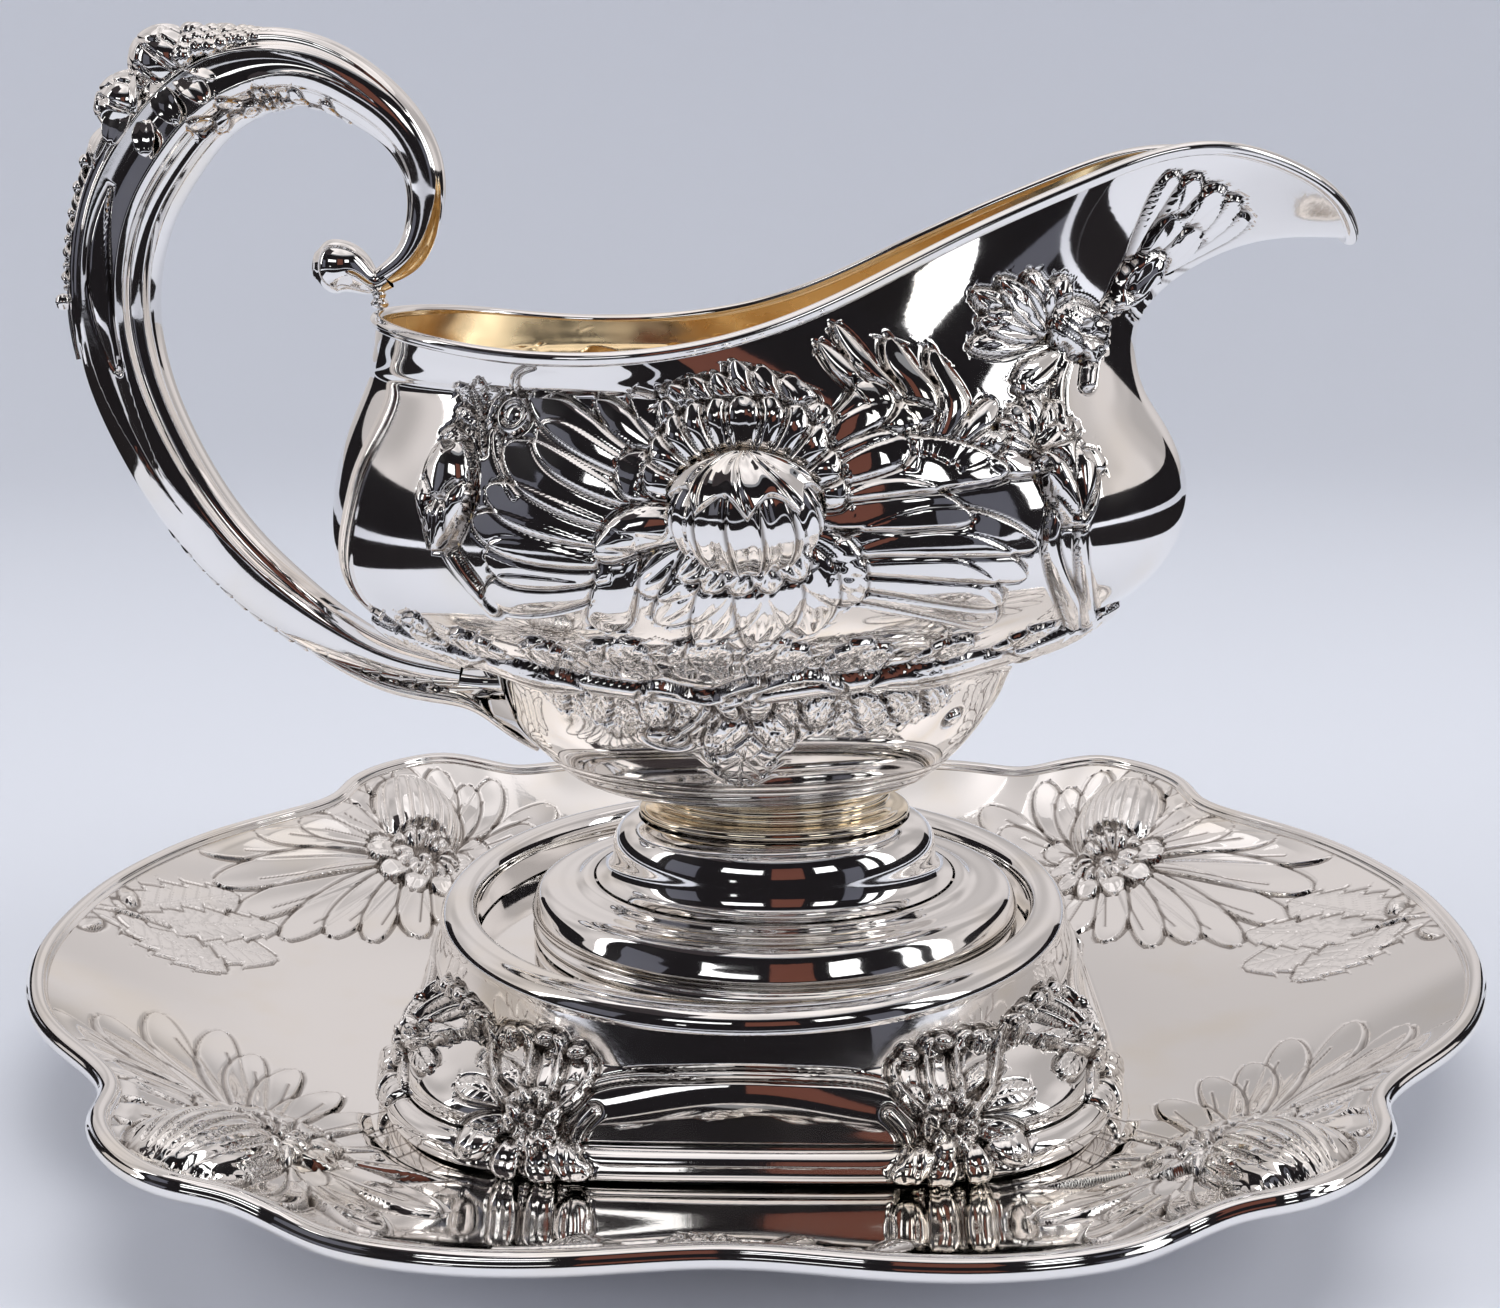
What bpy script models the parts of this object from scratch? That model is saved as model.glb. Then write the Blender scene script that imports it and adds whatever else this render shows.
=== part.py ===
"""Silver sauce boat standing in the round well of its lobed stand.

The boat lifts straight out of the stand. Metres, +Z up, +X towards the spout.
The origin is on the table under the middle of the stand.
"""

import math

import bmesh
import bpy
import numpy as np

MM = 0.001
GAP = 0.3 * MM

# Stand: outline of one quarter, as (x, y, height of the edge), in mm
STAND_QUARTER = [
    (134.3, 0.0, 20.5),
    (133.0, 17.0, 20.5),
    (128.6, 32.5, 20.5),
    (121.8, 46.3, 20.5),
    (113.0, 57.5, 20.5),
    (105.8, 65.2, 20.5),
    (100.6, 73.5, 20.6),
    (99.0, 82.0, 21.2),
    (95.0, 91.0, 21.7),
    (88.0, 99.0, 21.7),
    (79.0, 104.0, 21.3),
    (71.0, 104.8, 19.8),
    (64.0, 106.6, 17.6),
    (57.0, 110.2, 16.8),
    (48.0, 113.5, 16.8),
    (37.0, 115.3, 16.8),
    (20.0, 115.3, 17.0),
    (0.0, 113.5, 17.2),
]
BORDER_RADIUS = 1.9 * MM
PLATE_THICK = 0.9 * MM
PLATE_HOLE_RADIUS = 56.0 * MM
PLATE_FLAT_SIZE = 68.0 * MM
PLATE_SHARES = (0.2, 0.4, 0.6, 0.8, 1.0)
CUSHION_POWER = 4.0
BASE_ROLL_SIZE = 63.5 * MM
BASE_ROLL_RADIUS = 3.0 * MM
BORDER_DROP = 0.2 * MM
STAND_SEGMENTS = 88

# Drum, ring and floor of the well
DRUM_TOP_RADIUS = 59.2 * MM
DRUM_BASE_SIZE = 63.0 * MM
DRUM_TOP_Z = 24.6 * MM
# The wall is a plain cylinder down to this height and spreads to the square foot below it
DRUM_SPREAD_Z = 18.0 * MM
DRUM_LEVELS = (0.0, 1.4, 3.2, 5.6, 8.4, 10.5, 17.1)
DRUM_COLUMNS = 72
DRUM_THICK = 0.8 * MM
RING_THICK = 0.8 * MM
RING_PATH = [
    (52.6, 20.3),
    (52.6, 27.2),
    (53.3, 28.2),
    (55.2, 28.6),
    (57.4, 28.1),
    (58.9, 26.7),
    (59.4, 24.9),
]
FLOOR_RADIUS = 52.2 * MM
FLOOR_TOP_Z = 20.0 * MM
FLOOR_THICK = 0.8 * MM
TURN_STEPS = 44

# Boat
BOAT_X = 4.0 * MM
FOOT_THICK = 0.8 * MM
FLANGE_PATH = [
    (45.8, 20.3),
    (45.8, 22.6),
    (45.2, 23.2),
    (45.8, 24.0),
    (45.7, 27.0),
    (44.6, 29.2),
    (42.2, 30.2),
    (37.4, 30.6),
    (36.4, 31.2),
    (34.4, 31.2),
]
PEDESTAL_PATH = [
    (33.9, 31.4),
    (31.6, 32.6),
    (30.7, 34.6),
    (30.5, 37.6),
    (29.4, 40.4),
    (27.2, 42.2),
    (25.6, 42.8),
]
COLLAR_PATH = [
    (25.1, 43.1),
    (25.6, 44.1),
    (24.8, 45.0),
    (22.2, 45.4),
    (21.4, 46.2),
    (22.0, 47.2),
    (21.4, 48.1),
    (20.0, 48.5),
]
# Depth over length of the foot, at its base and at the neck
OVAL_LOW = 0.88
OVAL_HIGH = 0.70
OVAL_LOW_Z = 20.0 * MM
OVAL_HIGH_Z = 46.0 * MM

# Bowl: levels as (height, left end, right end, half width), in mm
BOWL_LEVELS = [
    (49.0, -25.0, 25.0, 17.0),
    (51.2, -33.0, 32.0, 22.0),
    (56.0, -39.0, 38.0, 25.5),
    (62.0, -44.3, 42.8, 29.0),
    (70.0, -47.3, 47.5, 32.0),
    (74.5, -51.0, 50.0, 34.2),
    (76.6, -56.5, 53.0, 36.5),
    (79.4, -62.8, 57.5, 39.3),
    (84.0, -70.2, 64.3, 43.5),
    (90.0, -74.8, 72.4, 47.0),
    (97.0, -76.0, 77.0, 49.3),
    (104.0, -75.4, 78.2, 49.5),
    (111.0, -74.0, 76.9, 48.0),
    (118.0, -71.4, 73.0, 45.3),
    (125.0, -68.2, 69.2, 42.6),
]
# Angles round the bowl, from the handle end to the spout
BOWL_ANGLES = [180, 162, 138, 112, 88, 66, 48, 33, 21, 12, 5, 0]
# Rim on the near side at those angles, in mm
BOWL_RIM = [
    (-65.6, 0.0, 136.0),
    (-60.5, -21.0, 135.4),
    (-46.0, -35.5, 133.2),
    (-26.0, -42.0, 131.9),
    (-4.0, -40.5, 134.1),
    (17.0, -34.0, 141.2),
    (37.0, -28.0, 150.7),
    (57.0, -24.0, 159.1),
    (76.0, -20.5, 163.8),
    (91.0, -15.5, 160.4),
    (101.3, -8.5, 153.6),
    (104.8, 0.0, 148.6),
]
# How far the lip swings in below the rim, at a quarter, half and three quarters of its height
SPOUT_SWING = [(0.25, -9.2, 3.6), (0.5, -10.7, 6.0), (0.75, -5.9, 5.6), (1.0, 0.0, 0.0)]
SPOUT_SHARE = [0.0, 0.0, 0.0, 0.0, 0.0, 0.08, 0.2, 0.4, 0.65, 0.85, 0.96, 1.0]
BOWL_THICK = 0.9 * MM
BOWL_COLUMNS = 56
BOWL_ROWS = 20
RIM_RADIUS = 1.15 * MM
RIM_CLEAR = 1.65 * MM
CURVE_SAMPLES = 400

# Handle: centre line and half height of its section, in mm, from the rim to the cup
HANDLE_LINE = [
    (-65.6, 142.6, 1.7),
    (-60.4, 146.2, 2.6),
    (-57.3, 153.0, 3.1),
    (-57.1, 161.0, 3.7),
    (-60.4, 168.0, 4.4),
    (-66.9, 173.8, 5.3),
    (-75.5, 177.9, 6.1),
    (-86.0, 177.8, 7.3),
    (-95.4, 173.6, 8.0),
    (-102.9, 166.2, 8.3),
    (-109.0, 157.2, 8.3),
    (-112.5, 147.2, 8.0),
    (-113.6, 137.0, 7.7),
    (-112.2, 125.6, 7.3),
    (-108.3, 114.0, 6.9),
    (-102.3, 102.3, 6.6),
    (-94.8, 92.1, 6.3),
    (-86.2, 83.8, 5.9),
    (-76.5, 76.8, 5.0),
    (-65.9, 72.0, 4.0),
    (-54.2, 69.6, 3.4),
]
HANDLE_STEPS = 44
HANDLE_WIDTH_RATIO = 1.05
HANDLE_THICK = 0.7 * MM
HANDLE_ARC_POINTS = 7
FLUTE_DEPTH = 0.10
SEAM_HALF = 0.16 * MM
ORNAMENT_CLEAR = 0.35
ENVELOPE_SIDES = 16
BALL_SEGMENTS, BALL_RINGS = 18, 10
BEAD_SEGMENTS, BEAD_RINGS = 16, 8
BUD_SEGMENTS, BUD_RINGS = 20, 12
POD_WIDTH_RATIO = 1.5
POD_SIDES = 12
SPRIG_STEPS = 10
TRAIL_STEPS = 18
BALL_CENTRE = (-72.8, 144.6)
BALL_RADIUS = 4.8 * MM
BEAD_X = -66.0
LOW_BEAD = (138.35, 1.5, 0.85)
HIGH_BEAD = (139.65, 1.1, 0.8)
PLATE_LOW_Z = 62.0
PLATE_HIGH_Z = 71.8
PLATE_COLUMNS = 264
PLATE_REACH = 6
PLATE_ROWS = 8
PLATE_TAPER = 0.55
PLATE_OUTWARD = (-0.87, 0.0, -0.5)
PLATE_INNER = 0.6 * MM
PLATE_OUTER = 1.5 * MM

# Cast flowers and leaves on the shoulder of the handle
BUD_CENTRE = (-102.1, 180.1)
BUD_RADII = (6.3, 6.2, 6.0)
SIDE_BUD_CENTRE = (-111.6, 171.6)
SIDE_BUD_RADII = (4.4, 5.0, 4.6)
SPRIG_LINE = [(-95.4, 182.6, 2.0), (-92.2, 184.1, 2.6), (-88.2, 184.9, 2.3), (-84.6, 185.0, 1.3)]
TRAIL_LINE = [
    (-115.3, 165.0, 2.5),
    (-118.0, 158.6, 3.1),
    (-119.9, 151.4, 2.9),
    (-120.9, 144.2, 2.6),
    (-121.0, 137.2, 2.1),
    (-120.2, 130.4, 1.3),
]


def clear_scene():
    for obj in list(bpy.data.objects):
        bpy.data.objects.remove(obj, do_unlink=True)


def new_collection(name):
    col = bpy.data.collections.new(name)
    bpy.context.scene.collection.children.link(col)
    return col


def metal(name, colour, roughness):
    mat = bpy.data.materials.new(name)
    mat.use_nodes = True
    shader = mat.node_tree.nodes["Principled BSDF"]
    shader.inputs["Base Color"].default_value = (*colour, 1.0)
    shader.inputs["Roughness"].default_value = roughness
    shader.inputs["Metallic"].default_value = 1.0
    return mat


def silver(name):
    return metal(name + "_silver", (0.93, 0.91, 0.88), 0.12)


def place(obj, name, col, mat, parent=None):
    obj.name = name
    obj.data.name = name
    obj.data.materials.clear()
    obj.data.materials.append(mat)
    for other in list(obj.users_collection):
        other.objects.unlink(obj)
    col.objects.link(obj)
    if parent:
        obj.parent = parent
        obj.location.z = -FLOOR_TOP_Z
    return obj


def mesh_object(name, verts, faces):
    mesh = bpy.data.meshes.new(name)
    mesh.from_pydata([tuple(float(c) for c in v) for v in verts], [], faces)
    mesh.validate()
    obj = bpy.data.objects.new(name, mesh)
    bpy.context.scene.collection.objects.link(obj)
    tidy_mesh(obj)
    return obj


def tidy_mesh(obj):
    bm = bmesh.new()
    bm.from_mesh(obj.data)
    bmesh.ops.remove_doubles(bm, verts=bm.verts, dist=1e-6)
    bmesh.ops.recalc_face_normals(bm, faces=bm.faces)
    if bm.calc_volume(signed=True) < 0:
        bmesh.ops.reverse_faces(bm, faces=bm.faces)
    bm.to_mesh(obj.data)
    bm.free()


def baked(obj):
    """The object with its modifiers made real."""
    graph = bpy.context.evaluated_depsgraph_get()
    mesh = bpy.data.meshes.new_from_object(obj.evaluated_get(graph))
    obj.modifiers.clear()
    if obj.type != "MESH":
        solid = bpy.data.objects.new(obj.name, mesh)
        bpy.context.scene.collection.objects.link(solid)
        bpy.data.objects.remove(obj, do_unlink=True)
        obj = solid
    else:
        obj.data = mesh
    tidy_mesh(obj)
    return obj


def smooth_values(points, samples, closed):
    """A Catmull-Rom curve through the points, read at the given places."""
    pts = np.asarray(points, dtype=float)
    count = len(pts)
    cell = np.floor(samples).astype(int)
    if not closed:
        cell = np.clip(cell, 0, count - 2)
    t = (samples - cell)[:, None]

    def at(index):
        if closed:
            return pts[index % count]
        low = 2 * pts[0] - pts[1]
        high = 2 * pts[-1] - pts[-2]
        padded = np.vstack([low, pts, high])
        return padded[np.clip(index, -1, count) + 1]

    a, b, c, d = at(cell - 1), at(cell), at(cell + 1), at(cell + 2)
    return 0.5 * (
        2 * b + (c - a) * t + (2 * a - 5 * b + 4 * c - d) * t**2 + (3 * b - a - 3 * c + d) * t**3
    )


def thick_profile(path, thick):
    """A closed profile: the outer path and the same path set in by the thickness."""
    pts = np.array(path) * MM
    edge = np.diff(pts, axis=0)
    edge /= np.linalg.norm(edge, axis=1)[:, None]
    side = np.stack([-edge[:, 1], edge[:, 0]], axis=1)
    inner = []
    for i in range(len(pts)):
        if i == 0:
            normal, scale = side[0], 1.0
        elif i == len(pts) - 1:
            normal, scale = side[-1], 1.0
        else:
            normal = side[i - 1] + side[i]
            normal /= np.linalg.norm(normal)
            scale = 1.0 / max(0.7, float(normal @ side[i]))
        inner.append(pts[i] + normal * thick * scale)
    return [tuple(p) for p in pts] + [tuple(p) for p in inner[::-1]]


def turned(name, profile, closed, steps=TURN_STEPS):
    """A solid turned about +Z from a profile of (radius, height)."""
    verts = [(r, 0.0, z) for r, z in profile]
    edges = [(i, i + 1) for i in range(len(verts) - 1)]
    if closed:
        edges.append((len(verts) - 1, 0))
    mesh = bpy.data.meshes.new(name)
    mesh.from_pydata(verts, edges, [])
    obj = bpy.data.objects.new(name, mesh)
    bpy.context.scene.collection.objects.link(obj)
    mod = obj.modifiers.new("turn", "SCREW")
    mod.axis = "Z"
    mod.steps = steps
    mod.render_steps = steps
    mod.use_merge_vertices = True
    mod.merge_threshold = 1e-5
    return baked(obj)


def round_bar(name, points, radius, resolution):
    """A closed round bar along the points."""
    curve = bpy.data.curves.new(name, "CURVE")
    curve.dimensions = "3D"
    curve.bevel_depth = radius
    curve.bevel_resolution = resolution
    curve.use_fill_caps = True
    spline = curve.splines.new("POLY")
    spline.points.add(len(points) - 1)
    for spot, point in zip(spline.points, points):
        spot.co = (*[float(c) for c in point], 1.0)
    spline.use_cyclic_u = True
    obj = bpy.data.objects.new(name, curve)
    bpy.context.scene.collection.objects.link(obj)
    return baked(obj)


# ---------------------------------------------------------------- stand


def stand_outline():
    quarter = STAND_QUARTER
    pts = [(x, y, z) for x, y, z in quarter]
    pts += [(-x, y, z) for x, y, z in quarter[-2::-1]]
    pts += [(-x, -y, z) for x, y, z in quarter[1:]]
    pts += [(x, -y, z) for x, y, z in quarter[-2:0:-1]]
    samples = np.linspace(0, len(pts), STAND_SEGMENTS, endpoint=False)
    return smooth_values(pts, samples, True) * MM


def inset(points, distance):
    ahead = np.roll(points, -1, axis=0) - np.roll(points, 1, axis=0)
    normal = np.stack([-ahead[:, 1], ahead[:, 0]], axis=1)
    normal /= np.linalg.norm(normal, axis=1)[:, None]
    moved = points.copy()
    moved[:, :2] += normal * distance
    return moved


def cushion_radius(angle, size):
    power = CUSHION_POWER
    total = np.abs(np.cos(angle)) ** power + np.abs(np.sin(angle)) ** power
    return size / total ** (1.0 / power)


def add_stand_plate(col):
    edge = inset(stand_outline(), 2 * BORDER_RADIUS + GAP)
    angle = np.arctan2(edge[:, 1], edge[:, 0])
    flat = cushion_radius(angle, PLATE_FLAT_SIZE)
    rows = []
    for radius in (PLATE_HOLE_RADIUS * np.ones(len(angle)), flat):
        rows.append(np.stack([radius * np.cos(angle), radius * np.sin(angle), 0 * angle], axis=1))
    low = rows[-1]
    for share in PLATE_SHARES:
        point = low + (edge - low) * share
        rise = 0.35 * share + 0.65 * share**2.2
        point[:, 2] = (edge[:, 2] - PLATE_THICK) * rise
        rows.append(point)
    count = len(angle)
    verts = np.vstack(rows)
    faces = []
    for r in range(len(rows) - 1):
        for i in range(count):
            j = (i + 1) % count
            faces.append((r * count + i, (r + 1) * count + i, (r + 1) * count + j, r * count + j))
    obj = open_surface("tray_plate", verts, faces)
    mod = obj.modifiers.new("sheet", "SOLIDIFY")
    mod.thickness = PLATE_THICK
    mod.offset = 1.0
    mod.use_even_offset = True
    place(baked(obj), "tray_plate", col, silver("tray_plate"))


def open_surface(name, verts, faces):
    mesh = bpy.data.meshes.new(name)
    mesh.from_pydata([tuple(float(c) for c in v) for v in verts], [], faces)
    obj = bpy.data.objects.new(name, mesh)
    bpy.context.scene.collection.objects.link(obj)
    return obj


def add_border(col):
    line = inset(stand_outline(), BORDER_RADIUS)
    line[:, 2] -= BORDER_DROP
    obj = round_bar("tray_border_moulding", line, BORDER_RADIUS, 2)
    place(obj, "tray_border_moulding", col, silver("border"))


def add_base_roll(col):
    angle = np.linspace(0, 2 * math.pi, STAND_SEGMENTS, endpoint=False)
    radius = cushion_radius(angle, BASE_ROLL_SIZE)
    height = PLATE_THICK + GAP + BASE_ROLL_RADIUS
    line = np.stack([radius * np.cos(angle), radius * np.sin(angle), 0 * angle + height], axis=1)
    obj = round_bar("stand_base_moulding", line, BASE_ROLL_RADIUS, 2)
    place(obj, "stand_base_moulding", col, silver("base_moulding"))


def add_drum(col):
    """The wall is round under the ring and spreads to a rounded square on top of the roll."""
    angle = np.linspace(0, 2 * math.pi, DRUM_COLUMNS, endpoint=False)
    low = PLATE_THICK + GAP + 2 * BASE_ROLL_RADIUS + GAP
    foot = cushion_radius(angle, DRUM_BASE_SIZE)
    rings = []
    for side in (0.0, -DRUM_THICK):
        for level in DRUM_LEVELS:
            height = min(low + level * MM, DRUM_TOP_Z)
            drop = max(0.0, (DRUM_SPREAD_Z - height) / (DRUM_SPREAD_Z - low))
            spread = 1 - (1 - drop) ** 2
            radius = DRUM_TOP_RADIUS * (1 - spread) + foot * spread + side
            rings.append(
                np.stack([radius * np.cos(angle), radius * np.sin(angle), 0 * angle + height], axis=1)
            )
    levels = len(DRUM_LEVELS)
    order = list(range(levels)) + list(range(2 * levels - 1, levels - 1, -1))
    verts = np.vstack([rings[k] for k in order])
    faces = []
    total = len(order)
    count = DRUM_COLUMNS
    for r in range(total):
        s = (r + 1) % total
        for i in range(count):
            j = (i + 1) % count
            faces.append((r * count + i, r * count + j, s * count + j, s * count + i))
    obj = mesh_object("well_drum", verts, faces)
    place(obj, "well_drum", col, silver("drum"))


def add_well(col):
    ring = turned("well_ring", thick_profile(RING_PATH[::-1], RING_THICK)[::-1], True)
    place(ring, "well_ring", col, silver("ring"))
    low = FLOOR_TOP_Z - FLOOR_THICK
    profile = [(0, FLOOR_TOP_Z), (FLOOR_RADIUS, FLOOR_TOP_Z), (FLOOR_RADIUS, low), (0, low)]
    floor = turned("well_floor", profile, False)
    place(floor, "well_floor", col, silver("well_floor"))


# ---------------------------------------------------------------- boat


def boat_axis(col):
    """The upright line that the boat is lifted along, through the middle of its foot."""
    axis = bpy.data.objects.new("boat_lift_axis", None)
    axis.location = (BOAT_X, 0.0, FLOOR_TOP_Z)
    col.objects.link(axis)
    return axis


def oval(obj):
    """Narrow a turned piece across the boat, more so towards the neck."""
    for vert in obj.data.vertices:
        share = (vert.co.z - OVAL_LOW_Z) / (OVAL_HIGH_Z - OVAL_LOW_Z)
        share = min(1.0, max(0.0, share))
        vert.co.y *= OVAL_LOW + (OVAL_HIGH - OVAL_LOW) * share
    return obj


def add_foot(col, axis):
    for name, path in (
        ("foot_flange", FLANGE_PATH),
        ("foot_pedestal", PEDESTAL_PATH),
        ("foot_collar", COLLAR_PATH),
    ):
        obj = oval(turned(name, thick_profile(path, FOOT_THICK), True))
        place(obj, name, col, silver(name), axis)


def bowl_net():
    """Control points of the near half of the bowl, from its bottom up to the rim."""
    angle = np.radians(BOWL_ANGLES)
    rows = []
    for height, left, right, width in BOWL_LEVELS:
        middle = 0.5 * (left + right)
        reach = 0.5 * (right - left)
        x = middle + reach * np.cos(angle)
        y = -width * np.sin(angle)
        rows.append(np.stack([x, y, 0 * angle + height], axis=1))
    start = rows[-1]
    rim = np.array(BOWL_RIM)
    share = np.array(SPOUT_SHARE)[:, None]
    for part, swing_x, swing_z in SPOUT_SWING:
        row = start + (rim - start) * part
        rows.append(row + share * np.array([swing_x, 0.0, swing_z]))
    return np.array(rows)


def bowl_columns(count):
    """Dense curves up the outside of the bowl, one for each of count places round it."""
    net = bowl_net()
    mirrored = net[:, -2:0:-1].copy()
    mirrored[:, :, 1] *= -1
    loop = np.concatenate([net, mirrored], axis=1)
    places = np.linspace(0, loop.shape[1], count, endpoint=False)
    around = np.array([smooth_values(row, places, True) for row in loop])
    dense = np.linspace(0, len(around) - 1, CURVE_SAMPLES)
    return [smooth_values(around[:, k], dense, False) * MM for k in range(count)]


def resample(curve, count, rim, clear):
    """Points at even steps up the curve, stopping where it comes within reach of the rim."""
    away = np.linalg.norm(curve[:, None, :] - rim[None, :, :], axis=2).min(axis=1)
    keep = int(np.argmax(away < clear))
    curve = curve[:keep]
    step = np.linalg.norm(np.diff(curve, axis=0), axis=1)
    length = np.concatenate([[0.0], np.cumsum(step)])
    wanted = np.linspace(0.0, length[-1], count)
    return np.stack([np.interp(wanted, length, curve[:, k]) for k in range(3)], axis=1)


def add_bowl(col, axis):
    rim = np.array([curve[-1] for curve in bowl_columns(4 * BOWL_COLUMNS)])
    columns = [resample(c, BOWL_ROWS, rim, RIM_CLEAR) for c in bowl_columns(BOWL_COLUMNS)]
    verts = np.array(columns).transpose(1, 0, 2).reshape(-1, 3)
    count = BOWL_COLUMNS
    faces = []
    for r in range(BOWL_ROWS - 1):
        for i in range(count):
            j = (i + 1) % count
            faces.append((r * count + i, r * count + j, (r + 1) * count + j, (r + 1) * count + i))
    centre = len(verts)
    verts = np.vstack([verts, [[0.5 * MM, 0.0, BOWL_LEVELS[0][0] * MM]]])
    for i in range(count):
        faces.append((centre, (i + 1) % count, i))
    obj = open_surface("bowl_shell", verts, faces)
    mod = obj.modifiers.new("sheet", "SOLIDIFY")
    mod.thickness = BOWL_THICK
    mod.offset = -1.0
    mod.use_even_offset = True
    place(baked(obj), "bowl_shell", col, silver("bowl"), axis)


def add_rim(col, axis):
    line = np.array([curve[-1] for curve in bowl_columns(BOWL_COLUMNS)])
    obj = round_bar("rim_wire", line, RIM_RADIUS, 1)
    place(obj, "rim_wire", col, silver("rim"), axis)


def sweep_frames(line, steps):
    """Centres, half heights and outward directions along a line in the XZ plane."""
    data = smooth_values(line, np.linspace(0, len(line) - 1, steps), False) * MM
    centre = data[:, :2]
    ahead = np.gradient(centre, axis=0)
    ahead /= np.linalg.norm(ahead, axis=1)[:, None]
    outward = np.stack([ahead[:, 1], -ahead[:, 0]], axis=1)
    return centre, data[:, 2], outward


def handle_half(name, side):
    """One stamped half of the hollow fluted handle, open along the seam."""
    centre, height, outward = sweep_frames(HANDLE_LINE, HANDLE_STEPS)
    turn = np.linspace(0.0, math.pi, HANDLE_ARC_POINTS)
    flute = 1.0 - FLUTE_DEPTH * np.sin(2 * turn) ** 2
    verts = []
    for c, h, n in zip(centre, height, outward):
        for wall in (0.0, HANDLE_THICK):
            up = (h * flute - wall) * np.cos(turn)
            across = SEAM_HALF + (h * HANDLE_WIDTH_RATIO * flute - wall - SEAM_HALF) * np.sin(turn)
            across = np.maximum(across, SEAM_HALF)
            ring = [(c[0] + n[0] * u, side * a, c[1] + n[1] * u) for u, a in zip(up, across)]
            verts.extend(ring if wall == 0.0 else ring[::-1])
    loop = 2 * HANDLE_ARC_POINTS
    faces = []
    for s in range(len(centre) - 1):
        for k in range(loop):
            m = (k + 1) % loop
            faces.append((s * loop + k, s * loop + m, (s + 1) * loop + m, (s + 1) * loop + k))
    last = (len(centre) - 1) * loop
    for base in (0, last):
        for k in range(HANDLE_ARC_POINTS - 1):
            faces.append((base + k, base + k + 1, base + loop - 2 - k, base + loop - 1 - k))
    return mesh_object(name, verts, faces)


def pod(name, line, width_ratio, steps, sides):
    """A closed solid with an oval section swept along a line in the XZ plane."""
    centre, height, outward = sweep_frames(line, steps)
    turn = np.linspace(0.0, 2 * math.pi, sides, endpoint=False)
    verts = []
    for c, h, n in zip(centre, height, outward):
        for a in turn:
            u = h * math.cos(a)
            verts.append((c[0] + n[0] * u, width_ratio * h * math.sin(a), c[1] + n[1] * u))
    faces = []
    for s in range(steps - 1):
        for k in range(sides):
            m = (k + 1) % sides
            faces.append((s * sides + k, s * sides + m, (s + 1) * sides + m, (s + 1) * sides + k))
    last = (steps - 1) * sides
    faces.append(tuple(range(sides - 1, -1, -1)))
    faces.append(tuple(range(last, last + sides)))
    return mesh_object(name, verts, faces)


def ball(name, centre, radii, segments, rings):
    bm = bmesh.new()
    bmesh.ops.create_uvsphere(bm, u_segments=segments, v_segments=rings, radius=1.0)
    for vert in bm.verts:
        vert.co.x = centre[0] * MM + vert.co.x * radii[0] * MM
        vert.co.y = vert.co.y * radii[1] * MM
        vert.co.z = centre[1] * MM + vert.co.z * radii[2] * MM
    mesh = bpy.data.meshes.new(name)
    bm.to_mesh(mesh)
    bm.free()
    obj = bpy.data.objects.new(name, mesh)
    bpy.context.scene.collection.objects.link(obj)
    return obj


def apply_boolean(obj, other, operation):
    mod = obj.modifiers.new(operation, "BOOLEAN")
    mod.operation = operation
    mod.solver = "EXACT"
    mod.object = other
    return baked(obj)


def keep_as_cutter(obj, name, cutters, axis):
    obj.name = name
    obj.parent = axis
    obj.location.z = -FLOOR_TOP_Z
    for other in list(obj.users_collection):
        other.objects.unlink(obj)
    cutters.objects.link(obj)
    obj.hide_render = True
    obj.display_type = "WIRE"


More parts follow.
